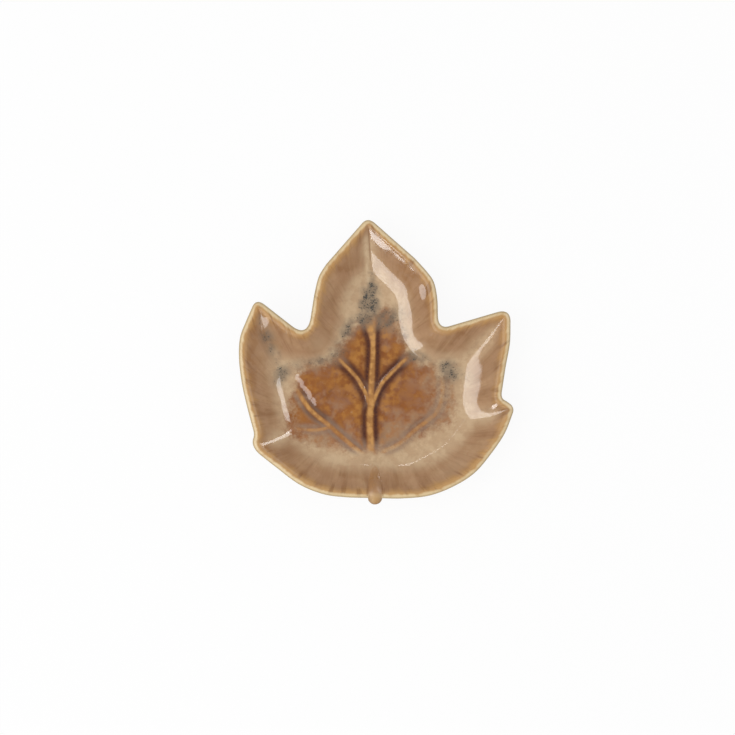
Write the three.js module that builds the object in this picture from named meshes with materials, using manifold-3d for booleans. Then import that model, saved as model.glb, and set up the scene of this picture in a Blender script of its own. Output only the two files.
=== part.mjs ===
import * as THREE from 'three';
import Module from 'manifold-3d';

const wasm = await Module();
wasm.setup();

// A leaf-shaped saucer of glazed stoneware: a press-moulded clay dish and the glazes fired onto it.
// Millimetres, +Z up, +Y from the stem to the crown. It stands on z = 0, centred over the origin.

// Clay dish, in section.
const RIM_HEIGHT = 19.5;
const WALL_THICKNESS = 3.4; // the lip is a full round of this thickness
const WALL_SLOPE = THREE.MathUtils.degToRad(42); // at the top of the wall
const FLOOR_HEIGHT = 7.5;
const FLOOR_INSET = 22; // from the finished rim to where the flat floor starts
const FLOOR_THICKNESS = 4.5;
const FOOT_INSET = 24.5; // from the finished rim to the outside of the foot ring
const FOOT_WIDTH = 3.4;
const FOOT_DRAFT = 0.6;

// Glaze.
const GLAZE = 0.5;
const BARE_FOOT = 1.2; // the foot is wiped clean up to this height

// Veins and stem, raised in the clay.
const RIB_HEIGHT = 0.7;
const GROOVE_WIDTH = 2.3; // each side of a rib
const GROOVE_DEPTH = 0.8;
const VEIN_MARGIN = 1.2; // from the tip of a vein to the edge of the floor
const VEIN_FADE = 7; // length over which a free end of a vein sinks into the floor

// The stem, from the foot of the wall to the end of its nub: how far inside the finished rim, how far
// its back rises over the clay there, and its radius.
const STEM_X = -0.7;
const STEM = [
  { inset: 16, rise: -0.3, radius: 1.4 },
  { inset: 11, rise: 0.6, radius: 2 },
  { inset: 5, rise: 1, radius: 2.6 },
  { inset: 2, rise: 0, radius: 3 },
  { inset: 0, rise: -0.5, radius: 3.2 },
  { inset: -1.5, rise: -1, radius: 2.7 },
  { inset: -2.5, rise: -1.9, radius: 1.5 },
];

// Corners of the leaf before rounding, on the finished rim.
const RIGHT_TOOTH = [68.1, -21.9];
const RIGHT_NOTCH = [61.1, -18.1];
const RIGHT_TIP = [66.1, 26.3];
const RIGHT_SINUS = [30.1, 15.9];
const CROWN_TIP = [-4.4, 71.4];
const LEFT_SINUS = [-34.3, 12.1];
const LEFT_TIP = [-59.2, 32];
const LEFT_NOTCH = [-59.6, -35.5];
const LEFT_TOOTH = [-61.7, -41.3];
const HEART = new THREE.Vector2(-0.7, -25.9); // where the veins gather

// Veins from root to tip: centre line, and the width of the rib at the root and the tip.
// A joined vein grows out of another one, a free one rises out of the floor.
const VEINS = [
  {
    path: [[-2.7, -41.6], [-3.2, -29.8], [-2.7, -17.6], [-1.7, 4], [-1.9, 11.8], [-3.3, 21]],
    widths: [3.6, 3.6],
    joined: false,
  },
  {
    path: [[-2.9, -20.5], [-6, -14.1], [-9, -8.7], [-12.1, -4.8], [-15.3, -1.8], [-19.3, 2.8]],
    widths: [2.8, 2],
    joined: true,
  },
  {
    path: [[-2.5, -20.5], [0.9, -13.5], [3.3, -9.7], [6.8, -5.9], [10.9, -1.8], [16.4, 3.3]],
    widths: [2.8, 2],
    joined: true,
  },
  {
    path: [[-9, -43.6], [-15, -38.6], [-23.6, -31], [-32.9, -23.1], [-39.1, -14.1]],
    widths: [3, 2.4],
    joined: false,
  },
  {
    path: [[-22.5, -32], [-29, -33.2], [-36.5, -32.6]],
    widths: [2, 1.6],
    joined: true,
  },
  {
    path: [[4.7, -43.5], [11.5, -40.1], [19.4, -33.2], [26.2, -28.1], [30.6, -23.4], [32.4, -15.6],
      [32.4, -8]],
    widths: [3, 2.2],
    joined: false,
  },
];

// Facets.
const RIM_PIECES = 480; // of the curve that insets are measured from
const FACET_LENGTH = 9;
const FACET_TURN = THREE.MathUtils.degToRad(28);
const WALL_FACETS = 5;
const LIP_FACETS = 5;
const VEIN_STATIONS = 8;
const VALLEY_SPREAD = 8; // facets each side of a valley that bend along with it
const BURY = 1.5; // depth of clay hidden under a rib, and room over a groove

const flat = (points) => points.map(([x, y]) => new THREE.Vector2(x, y));

// The finished rim from above, counter-clockwise from under the right tooth. The stem is left off.
function rimOutline() {
  const rim = new THREE.Shape();
  rim.moveTo(66.7, -25.4);
  rim.quadraticCurveTo(...RIGHT_TOOTH, 64.8, -19.9);
  rim.lineTo(63.2, -18.8);
  rim.quadraticCurveTo(...RIGHT_NOTCH, 61.4, -15);
  rim.splineThru(flat([[63.3, -2.6], [65.4, 9.2], [65.7, 18.9]]));
  rim.quadraticCurveTo(...RIGHT_TIP, 59.4, 24.6);
  rim.lineTo(35.9, 17.7);
  rim.quadraticCurveTo(...RIGHT_SINUS, 30.1, 23.4);
  rim.splineThru(flat([[29.8, 31.4], [28.2, 39.1], [24.8, 44.3], [18.6, 51.1]]));
  rim.lineTo(-0.6, 68);
  rim.quadraticCurveTo(...CROWN_TIP, -7.3, 67.8);
  rim.lineTo(-24.7, 47.9);
  rim.splineThru(flat([[-28.2, 42.1], [-30.2, 34.5], [-31.4, 27.3], [-32.4, 21]]));
  rim.quadraticCurveTo(...LEFT_SINUS, -41.9, 18.1);
  rim.lineTo(-54.2, 27.7);
  rim.quadraticCurveTo(...LEFT_TIP, -61.2, 26.3);
  rim.splineThru(
    flat([[-63.9, 20.1], [-66.8, 12.3], [-67.4, 2.5], [-66.1, -9.6], [-63.5, -21.5], [-60.5, -32.8]]),
  );
  rim.quadraticCurveTo(...LEFT_NOTCH, -60.4, -37.4);
  rim.quadraticCurveTo(...LEFT_TOOTH, -57.1, -45.3);
  rim.splineThru(
    flat([[-49.1, -51.6], [-38.2, -59.7], [-26.8, -64.5], [-15.4, -66.2], [-0.7, -66.6], [12.6, -66.8],
      [25.9, -65.4], [38, -60.8], [48.2, -54.2], [56.5, -44.5], [62.9, -34.9], [66.7, -25.4]]),
  );
  return rim;
}

const RIM = rimOutline().getSpacedPoints(RIM_PIECES).slice(0, -1);
const rimPoint = (i) => RIM[(i + RIM.length) % RIM.length];

// How far a point is from the finished rim, in plan.
function rimDistance(x, y) {
  let nearest = Infinity;
  for (let i = 0; i < RIM.length; i++) {
    const a = RIM[i];
    const b = rimPoint(i + 1);
    const dx = b.x - a.x;
    const dy = b.y - a.y;
    const t = THREE.MathUtils.clamp(((x - a.x) * dx + (y - a.y) * dy) / (dx * dx + dy * dy), 0, 1);
    nearest = Math.min(nearest, Math.hypot(a.x + t * dx - x, a.y + t * dy - y));
  }
  return nearest;
}

// A line runs inwards from one point to another, bent along the valleys that are near it.
function pointOn({ from, to, bends }, share) {
  const point = from.clone().lerp(to, share);
  for (const { valley, weight } of bends) {
    const place = share * (valley.length - 1);
    const i = Math.min(Math.floor(place), valley.length - 2);
    const onValley = valley[i].clone().lerp(valley[i + 1], place - i);
    const straight = valley[0].clone().lerp(valley.at(-1), share);
    point.addScaledVector(onValley.sub(straight), weight);
  }
  return point;
}

// The point of a line that lies a given inset from the rim.
function pointAtInset(line, inset) {
  let low = 0;
  let high = 1;
  for (let i = 0; i < 30; i++) {
    const middle = (low + high) / 2;
    const { x, y } = pointOn(line, middle);
    if (rimDistance(x, y) < inset) {
      low = middle;
    } else {
      high = middle;
    }
  }
  return pointOn(line, high);
}

// The edge of the floor, parallel to the rim, traced round the heart of the leaf.
const toHeart = (from) => ({ from, to: HEART, bends: [] });
const FLOOR_EDGE = RIM.map((rim) => pointAtInset(toHeart(rim), FLOOR_INSET));

// The valley from a tip of the leaf to the floor: along the points that are farthest from the rim.
function valleyFrom(tip) {
  const step = 0.5;
  const valley = [tip.clone()];
  let heading = Math.atan2(HEART.y - tip.y, HEART.x - tip.x);
  while (rimDistance(valley.at(-1).x, valley.at(-1).y) < FLOOR_INSET) {
    let best = { depth: -1 };
    for (let turn = -0.8; turn <= 0.8; turn += 0.05) {
      const ahead = new THREE.Vector2(Math.cos(heading + turn), Math.sin(heading + turn));
      const point = ahead.multiplyScalar(step).add(valley.at(-1));
      const depth = rimDistance(point.x, point.y);
      if (depth > best.depth) {
        best = { depth, point, heading: heading + turn };
      }
    }
    heading = best.heading;
    valley.push(best.point);
  }
  return valley;
}

function nearestIndex(points, target) {
  const reach = points.map((point) => point.distanceTo(target));
  return reach.indexOf(Math.min(...reach));
}

// Positions along a stretch of a closed line, at even shares of the effort that each of its steps costs.
function evenShares(line, first, last, count, effort) {
  const steps = (last - first + line.length) % line.length;
  const total = [0];
  for (let i = 0; i < steps; i++) {
    total.push(total[i] + effort(first + i));
  }
  const shares = [];
  for (let k = 0; k < count; k++) {
    const goal = (total[steps] * k) / count;
    const i = Math.max(0, total.findIndex((sum) => sum > goal) - 1);
    const a = line[(first + i) % line.length];
    const b = line[(first + i + 1) % line.length];
    shares.push(a.clone().lerp(b, (goal - total[i]) / (total[i + 1] - total[i])));
  }
  return shares;
}

const stepLength = (line, i) => line[i % line.length].distanceTo(line[(i + 1) % line.length]);

// What a step along the rim costs in facets: its length, and how sharply the rim turns there.
function rimEffort(i) {
  const before = rimPoint(i).clone().sub(rimPoint(i - 1)).angle();
  const after = rimPoint(i + 1).clone().sub(rimPoint(i)).angle();
  const turn = Math.abs(after - before);
  return stepLength(RIM, i) / FACET_LENGTH + Math.min(turn, 2 * Math.PI - turn) / FACET_TURN;
}

// Lines from the rim to the edge of the floor, from tip to tip. A tip's own line is its valley.
function rimToFloor() {
  const tips = [RIGHT_TOOTH, RIGHT_TIP, CROWN_TIP, LEFT_TIP, LEFT_TOOTH].map(([x, y]) => {
    const start = nearestIndex(RIM, new THREE.Vector2(x, y));
    const valley = valleyFrom(RIM[start]);
    return { start, valley, end: nearestIndex(FLOOR_EDGE, valley.at(-1)) };
  });
  const lines = [];
  tips.forEach((tip, k) => {
    const next = tips[(k + 1) % tips.length];
    const steps = (next.start - tip.start + RIM.length) % RIM.length;
    let effort = 0;
    for (let i = 0; i < steps; i++) {
      effort += rimEffort(tip.start + i);
    }
    const count = Math.ceil(effort);
    const rim = evenShares(RIM, tip.start, next.start, count, rimEffort);
    const edge = evenShares(FLOOR_EDGE, tip.end, next.end, count, (i) => stepLength(FLOOR_EDGE, i));
    rim.forEach((point, i) => {
      const bends = [
        { valley: tip.valley, weight: Math.max(0, 1 - i / VALLEY_SPREAD) },
        { valley: next.valley, weight: Math.max(0, 1 - (count - i) / VALLEY_SPREAD) },
      ];
      lines.push({ from: point, to: edge[i], bends });
    });
  });
  return lines;
}

const LINES = rimToFloor();

// The level line round the leaf at an inset from the rim. Under the floor it closes in on the heart.
function ringAt(inset, z) {
  return LINES.map((line) => {
    const { x, y } = pointAtInset(inset > FLOOR_INSET ? toHeart(line.to) : line, inset);
    return new THREE.Vector3(x, y, z);
  });
}

// Section of the clay in inset and height: floor edge, wall, lip, outside of the wall, foot, base.
const LIP_RADIUS = WALL_THICKNESS / 2;
const BASE_HEIGHT = FLOOR_HEIGHT - FLOOR_THICKNESS;
const lipCentre = new THREE.Vector2(GLAZE + LIP_RADIUS, RIM_HEIGHT - LIP_RADIUS);
const wallNormal = new THREE.Vector2(Math.sin(WALL_SLOPE), Math.cos(WALL_SLOPE));
const wallTop = lipCentre.clone().addScaledVector(wallNormal, LIP_RADIUS);
const knee = new THREE.Vector2(
  wallTop.x + (wallTop.y - FLOOR_HEIGHT) / Math.tan(WALL_SLOPE),
  FLOOR_HEIGHT,
);
const wallCurve = new THREE.QuadraticBezierCurve(new THREE.Vector2(FLOOR_INSET, FLOOR_HEIGHT), knee, wallTop);

function claySection() {
  const inside = wallCurve.getPoints(WALL_FACETS);
  const lip = [];
  for (let i = 1; i < LIP_FACETS; i++) {
    const angle = Math.PI / 2 - WALL_SLOPE + (Math.PI * i) / LIP_FACETS;
    lip.push(new THREE.Vector2(Math.cos(angle), Math.sin(angle)).multiplyScalar(LIP_RADIUS).add(lipCentre));
  }
  const outside = [];
  for (let i = WALL_FACETS; i > 0; i -= 2) {
    const along = wallCurve.getTangent(i / WALL_FACETS);
    const out = new THREE.Vector2(along.y, -along.x).multiplyScalar(-WALL_THICKNESS);
    outside.push(wallCurve.getPoint(i / WALL_FACETS).add(out));
  }
  const bareDraft = (FOOT_DRAFT * BARE_FOOT) / BASE_HEIGHT;
  const footInside = FOOT_INSET + FOOT_WIDTH;
  const foot = flat([
    [FOOT_INSET - FOOT_DRAFT, BASE_HEIGHT],
    [FOOT_INSET - bareDraft, BARE_FOOT],
    [FOOT_INSET, 0],
    [footInside, 0],
    [footInside + bareDraft, BARE_FOOT],
    [footInside + FOOT_DRAFT, BASE_HEIGHT],
  ]);
  return [...inside, ...lip, ...outside, ...foot];
}

// A closed solid over a run of rings, with a fan round a centre over each end. Each ring goes
// counter-clockwise as the first end is seen from outside.
function loft(rings, firstCentre, lastCentre) {
  const count = rings[0].length;
  const lastRing = (rings.length - 1) * count;
  const centres = rings.length * count;
  const faces = [];
  for (let i = 0; i < count; i++) {
    const next = (i + 1) % count;
    for (let ring = 0; ring < lastRing; ring += count) {
      const a = ring + i;
      const b = ring + next;
      faces.push([a, a + count, b + count], [a, b + count, b]);
    }
    faces.push([i, next, centres], [lastRing + next, lastRing + i, centres + 1]);
  }
  const corners = [...rings.flat(), firstCentre, lastCentre];
  return new wasm.Manifold(
    new wasm.Mesh({
      numProp: 3,
      vertProperties: new Float32Array(corners.flatMap((point) => point.toArray())),
      triVerts: new Uint32Array(faces.flat()),
    }),
  );
}

function clayDish() {
  const rings = claySection().map(({ x, y }) => ringAt(x, y));
  const overHeart = (z) => new THREE.Vector3(HEART.x, HEART.y, z);
  return loft(rings, overHeart(FLOOR_HEIGHT), overHeart(BASE_HEIGHT));
}

const middleOf = (ring) =>
  ring.reduce((sum, point) => sum.add(point), new THREE.Vector3()).divideScalar(ring.length);

// A solid swept along a path, its section given in steps to the right of the path and up.
function sweep(stations) {
  const rings = stations.map(({ at, heading, section }) =>
    section.map(({ x, y }) => new THREE.Vector3(at.x + heading.y * x, at.y - heading.x * x, y)),
  );
  return loft(rings, middleOf(rings[0]), middleOf(rings.at(-1)));
}

const BULGE = [-1, -0.5, 0, 0.5, 1];

// Below a vein: a shallow groove, wider than the rib, that runs out into the floor where it fades.
function grooveSection(width, relief) {
  const half = width / 2 + GROOVE_WIDTH * (0.4 + 0.6 * relief);
  const depth = GROOVE_DEPTH * (1.1 * relief - 0.1);
  const bottom = BULGE.map((u) => [u * half, FLOOR_HEIGHT - depth * (1 - u * u)]);
  return flat([...bottom, [half, FLOOR_HEIGHT + BURY], [-half, FLOOR_HEIGHT + BURY]]);
}

// The rounded rib of a vein, from under the groove to its crest.
function ribSection(width, relief) {
  const half = width / 2;
  const root = FLOOR_HEIGHT - GROOVE_DEPTH;
  const crest = THREE.MathUtils.lerp(root, FLOOR_HEIGHT + RIB_HEIGHT, relief);
  const dome = BULGE.map((u) => [-u * half, THREE.MathUtils.lerp(crest, root - 0.1, u * u)]);
  return flat([[-half, root - BURY], [half, root - BURY], ...dome]);
}

function veinStations({ path, widths, joined }, sectionOf) {
  const line = new THREE.SplineCurve(flat(path));
  const shares = Array.from({ length: 101 }, (_, i) => i / 100);
  const onFloor = shares.filter((u) => {
    const { x, y } = line.getPointAt(u);
    return rimDistance(x, y) > FLOOR_INSET + VEIN_MARGIN;
  });
  const from = onFloor[0];
  const length = line.getLength() * (onFloor.at(-1) - from);
  return Array.from({ length: VEIN_STATIONS }, (_, k) => {
    const share = k / (VEIN_STATIONS - 1);
    const u = THREE.MathUtils.lerp(from, onFloor.at(-1), share);
    const tipFade = THREE.MathUtils.smoothstep(length * (1 - share), 0, VEIN_FADE);
    const rootFade = joined ? 1 : THREE.MathUtils.smoothstep(length * share, 0, VEIN_FADE);
    const width = THREE.MathUtils.lerp(widths[0], widths[1], share);
    return {
      at: line.getPointAt(u),
      heading: line.getTangentAt(u),
      section: sectionOf(width, Math.min(tipFade, rootFade)),
    };
  });
}

// Height of the upper face of the clay at an inset from the finished rim.
function clayTop(inset) {
  const onWall = wallCurve.getPoints(100).find((point) => point.x <= inset);
  return onWall ? onWall.y : RIM_HEIGHT;
}

// The stem: a rib that climbs the wall under the heart and ends in a nub past the rim.
function stem() {
  const belowHeart = RIM.filter((point) => point.y < HEART.y && Math.abs(point.x - STEM_X) < FACET_LENGTH);
  const rimY = Math.min(...belowHeart.map((point) => point.y));
  const round = Array.from({ length: 10 }, (_, i) => (2 * Math.PI * (i + 0.5)) / 10);
  const stations = STEM.map(({ inset, rise, radius }) => ({
    at: new THREE.Vector2(STEM_X, rimY + inset),
    heading: new THREE.Vector2(0, -1),
    section: round.map((angle) => {
      const axis = clayTop(inset) + rise - radius;
      return new THREE.Vector2(Math.cos(angle) * radius, axis + Math.sin(angle) * radius);
    }),
  }));
  return sweep(stations);
}

function clayBody() {
  const grooves = VEINS.map((vein) => sweep(veinStations(vein, grooveSection)));
  const ribs = VEINS.map((vein) => sweep(veinStations(vein, ribSection)));
  return wasm.Manifold.union([clayDish().subtract(wasm.Manifold.union(grooves)), ...ribs, stem()]);
}

// The clay as corner positions, faces and outward corner normals, for the glazes to grow from.
function claySkin(body) {
  const mesh = body.getMesh();
  const geometry = new THREE.BufferGeometry();
  geometry.setAttribute('position', new THREE.BufferAttribute(new Float32Array(mesh.vertProperties), 3));
  geometry.setIndex(new THREE.BufferAttribute(new Uint32Array(mesh.triVerts), 1));
  geometry.computeVertexNormals();
  const corners = (attribute) =>
    Array.from({ length: attribute.count }, (_, i) => new THREE.Vector3().fromBufferAttribute(attribute, i));
  const inside = corners(geometry.attributes.position);
  const normals = corners(geometry.attributes.normal);
  const outside = inside.map((point, i) => point.clone().addScaledVector(normals[i], GLAZE));
  const faces = [];
  for (let i = 0; i < mesh.triVerts.length; i += 3) {
    faces.push([...mesh.triVerts.slice(i, i + 3)]);
  }
  return { geometry, inside, outside, faces };
}

// Which finish a face of the clay carries: the bare foot, the base inside it, the floor or the wall.
function zoneOf(face, inside) {
  const slack = 0.25;
  const height = (inside[face[0]].z + inside[face[1]].z + inside[face[2]].z) / 3;
  const inset = Math.min(...face.map((i) => rimDistance(inside[i].x, inside[i].y))) + slack;
  if (height < BARE_FOOT) {
    return 'bare';
  }
  if (height < (BASE_HEIGHT + FLOOR_HEIGHT) / 2) {
    return inset > FOOT_INSET + FOOT_WIDTH ? 'base' : 'wall';
  }
  return inset > FLOOR_INSET ? 'floor' : 'wall';
}

// A coat of glaze over some faces of the clay: inside on the clay, outside one glaze away, sides
// along its border. Neighbouring coats split a shared side along the same diagonal.
function coat({ inside, outside }, faces) {
  const count = inside.length;
  const edges = new Set(faces.flatMap(([a, b, c]) => [`${a},${b}`, `${b},${c}`, `${c},${a}`]));
  const shell = [];
  for (const [a, b, c] of faces) {
    shell.push([a, c, b], [a + count, b + count, c + count]);
    for (const [from, to] of [[a, b], [b, c], [c, a]]) {
      if (edges.has(`${to},${from}`)) {
        continue;
      }
      if (from < to) {
        shell.push([from, to, to + count], [from, to + count, from + count]);
      } else {
        shell.push([from, to, from + count], [to, to + count, from + count]);
      }
    }
  }
  const geometry = new THREE.BufferGeometry();
  geometry.setFromPoints([...inside, ...outside]);
  geometry.setIndex(shell.flat());
  return geometry;
}

function named(name, geometry, color, roughness) {
  const flatShaded = geometry.toNonIndexed();
  flatShaded.computeVertexNormals();
  const mesh = new THREE.Mesh(flatShaded, new THREE.MeshStandardMaterial({ color, roughness, metalness: 0 }));
  mesh.name = name;
  return mesh;
}

const skin = claySkin(clayBody());
const zones = { bare: [], base: [], floor: [], wall: [] };
for (const face of skin.faces) {
  zones[zoneOf(face, skin.inside)].push(face);
}

const saucer = new THREE.Group();
saucer.name = 'leaf_saucer';
saucer.add(named('stoneware_body', skin.geometry, 0xcbb392, 0.85));
saucer.add(named('wall_glaze', coat(skin, zones.wall), 0xa88664, 0.22));
saucer.add(named('floor_glaze', coat(skin, zones.floor), 0xa5642a, 0.15));
saucer.add(named('base_glaze', coat(skin, zones.base), 0xa88664, 0.3));

export default saucer;
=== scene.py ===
"""A leaf-shaped saucer of glazed stoneware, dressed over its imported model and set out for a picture.

The saucer is one press-moulded clay dish with a glaze that runs from tan on the wall to amber on the
floor. Sizes are in millimetres until a mesh is written, which is in metres.
"""

import logging
import math
from dataclasses import dataclass, field
from enum import Enum
from typing import Sequence, Union

import bpy
import numpy as np
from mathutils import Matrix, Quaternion, Vector
from mathutils.kdtree import KDTree


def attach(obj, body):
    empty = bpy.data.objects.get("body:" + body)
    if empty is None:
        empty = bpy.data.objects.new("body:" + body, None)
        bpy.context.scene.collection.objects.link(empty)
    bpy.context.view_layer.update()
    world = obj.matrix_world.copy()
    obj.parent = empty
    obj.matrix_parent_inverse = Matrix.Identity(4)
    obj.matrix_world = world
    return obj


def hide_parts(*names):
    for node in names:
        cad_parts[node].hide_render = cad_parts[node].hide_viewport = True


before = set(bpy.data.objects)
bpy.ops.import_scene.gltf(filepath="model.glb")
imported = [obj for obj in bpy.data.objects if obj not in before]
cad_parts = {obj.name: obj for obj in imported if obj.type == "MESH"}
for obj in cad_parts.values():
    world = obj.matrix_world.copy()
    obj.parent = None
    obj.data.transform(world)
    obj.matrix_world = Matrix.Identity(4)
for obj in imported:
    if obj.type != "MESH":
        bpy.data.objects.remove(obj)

LOG = logging.getLogger("leaf_saucer")
MM = 0.001
BODY = "root"
PHOTO_PIXELS = 735
MM_PER_PIXEL = 0.49
FLOW = "wall_flow"
LEAST_SQUARE = 1e-12
LEAST_STEP = 1e-9
MERGE_DISTANCE = 1e-7
MIX_A, MIX_B, MIX_RESULT = 6, 7, 2

Array = np.ndarray
Socket = bpy.types.NodeSocket
Sockets = bpy.types.NodeOutputs
Input = Union[Socket, float, Sequence[float]]


class Slot(str, Enum):
    """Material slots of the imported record."""

    CLAY = "clay"
    TAN_GLAZE = "tan_glaze"
    BASE_GLAZE = "base_glaze"


class Mask(str, Enum):
    """Values painted onto the glaze, one number for each point of its mesh."""

    INSET = "inset_mm"
    # Cream where the glaze breaks over the lip, and a painted highlight on the stem's nub.
    LIP = "lip"
    WORN = "worn_lip"
    AMBER = "amber"
    DEEP = "deep_amber"
    CREST = "vein_crest"
    GROOVE = "vein_groove"
    SHADE = "vein_shade"
    GLOW = "vein_glow"
    GREY = "vein_grey"
    SPECKLE = "speckle"
    VEIL = "grey_veil"
    PALE = "pale_pool"
    RUST = "rust"
    STEM = "stem"
    # Painted shade: dark lines along the crown's crease, beside the stem and round the nub's steep edge.
    LINE = "painted_shade_line"


class Lit(str, Enum):
    """What a lamp is seen by: the shine of the glaze, or matt colour."""

    SHINE = "shine"
    MATT = "matt"


def smoothstep(value: Array, low: float, high: float) -> Array:
    """Eases from 0 at low to 1 at high.

    Args:
        value: Numbers to ease.
        low: Where the result leaves 0.
        high: Where the result reaches 1.

    Returns:
        Numbers from 0 to 1, in the shape of value.
    """
    t = np.clip((np.asarray(value, float) - low) / (high - low), 0.0, 1.0)
    return t * t * (3.0 - 2.0 * t)


def bell(value: Array, width: float) -> Array:
    """Falls from 1 at 0 to nearly 0 past twice a width."""
    return np.exp(-((value / width) ** 2))


def smooth_max(a: Array, b: Array, blend: float) -> Array:
    """Takes the larger of two numbers, rounded where they are near each other.

    Args:
        a: First numbers.
        b: Second numbers.
        blend: Difference over which the two run into each other.

    Returns:
        The rounded maximum.
    """
    h = np.clip(0.5 + 0.5 * (a - b) / blend, 0.0, 1.0)
    return b + (a - b) * h + blend * h * (1.0 - h)


def linear(red: int, green: int, blue: int) -> tuple[float, float, float, float]:
    """Turns a display colour of 0 to 255 into the linear colour that shaders use.

    Args:
        red: Red as displayed.
        green: Green as displayed.
        blue: Blue as displayed.

    Returns:
        Linear red, green, blue and an alpha of 1.
    """
    parts = [c / 255.0 for c in (red, green, blue)]
    lin = [c / 12.92 if c <= 0.04045 else ((c + 0.055) / 1.055) ** 2.4 for c in parts]
    return (lin[0], lin[1], lin[2], 1.0)


def spline_points(knots: Sequence[Sequence[float]], steps: int) -> Array:
    """Runs a smooth curve through knots, without its last point.

    Args:
        knots: Points that the curve goes through.
        steps: Points from one knot to the next.

    Returns:
        Points on the curve.
    """
    p = np.asarray(knots, float)
    t = np.linspace(0.0, 1.0, steps, endpoint=False)[:, None]
    runs = []
    for i in range(len(p) - 1):
        before, a, b, after = p[max(i - 1, 0)], p[i], p[i + 1], p[min(i + 2, len(p) - 1)]
        start, end = (b - before) / 2, (after - a) / 2
        cubic = (2 * a - 2 * b + start + end) * t**3 + (3 * b - 3 * a - 2 * start - end) * t**2
        runs.append(cubic + start * t + a)
    return np.concatenate(runs)


def even_points(line: Array, count: int) -> Array:
    """Spreads points evenly along an open line.

    Args:
        line: Corners of the line.
        count: Points wanted, both ends among them.

    Returns:
        Evenly spaced points.
    """
    length = np.concatenate([[0.0], np.cumsum(np.linalg.norm(np.diff(line, axis=0), axis=1))])
    at = np.linspace(0.0, length[-1], count)
    return np.stack([np.interp(at, length, line[:, k]) for k in range(line.shape[1])], 1)


def tree_of(points: Array) -> KDTree:
    """Sorts points in plan so that the nearest one is found fast.

    Args:
        points: Points in plan.

    Returns:
        A balanced tree.
    """
    tree = KDTree(len(points))
    for i, (x, y) in enumerate(points.tolist()):
        tree.insert((x, y, 0.0), i)
    tree.balance()
    return tree


def distance_to_tree(points: Array, tree: KDTree) -> Array:
    """Measures how far points in plan are from the nearest point of a tree."""
    return np.array([tree.find((x, y, 0.0))[2] for x, y in points.tolist()])


def distance_to_line(points: Array, line: Array) -> tuple[Array, Array, Array]:
    """Measures how far points are from a line of straight pieces.

    Args:
        points: Points in plan.
        line: Corners of the line.

    Returns:
        The distances, where on the line the nearest points lie, in pieces from its start, and the side:
        1 to the right of the line, -1 to the left.
    """
    nearest = np.full(len(points), np.inf)
    place = np.zeros(len(points))
    side = np.ones(len(points))
    for i, (a, b) in enumerate(zip(line[:-1], line[1:])):
        step = b - a
        away = points - a
        t = np.clip((away @ step) / max(step @ step, LEAST_SQUARE), 0.0, 1.0)
        reach = np.hypot(*(away - t[:, None] * step).T)
        closer = reach < nearest
        nearest[closer] = reach[closer]
        place[closer] = i + t[closer]
        side[closer] = np.sign(away[closer, 0] * step[1] - away[closer, 1] * step[0])
    return nearest, place, side


def depth_inside(points: Array, loop: Sequence[Sequence[float]]) -> Array:
    """Measures how far points in plan are inside a closed loop.

    Args:
        points: Points in plan.
        loop: Corners of the loop.

    Returns:
        Distances from the loop, negative outside it.
    """
    closed = np.array([*loop, loop[0]], float)
    reach = distance_to_line(points, closed)[0]
    inside = np.zeros(len(points), bool)
    for a, b in zip(closed[:-1], closed[1:]):
        crosses = (a[1] > points[:, 1]) != (b[1] > points[:, 1])
        at = a[0] + (points[:, 1] - a[1]) * (b[0] - a[0]) / (b[1] - a[1])
        inside ^= crosses & (points[:, 0] < at)
    return np.where(inside, reach, -reach)


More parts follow.
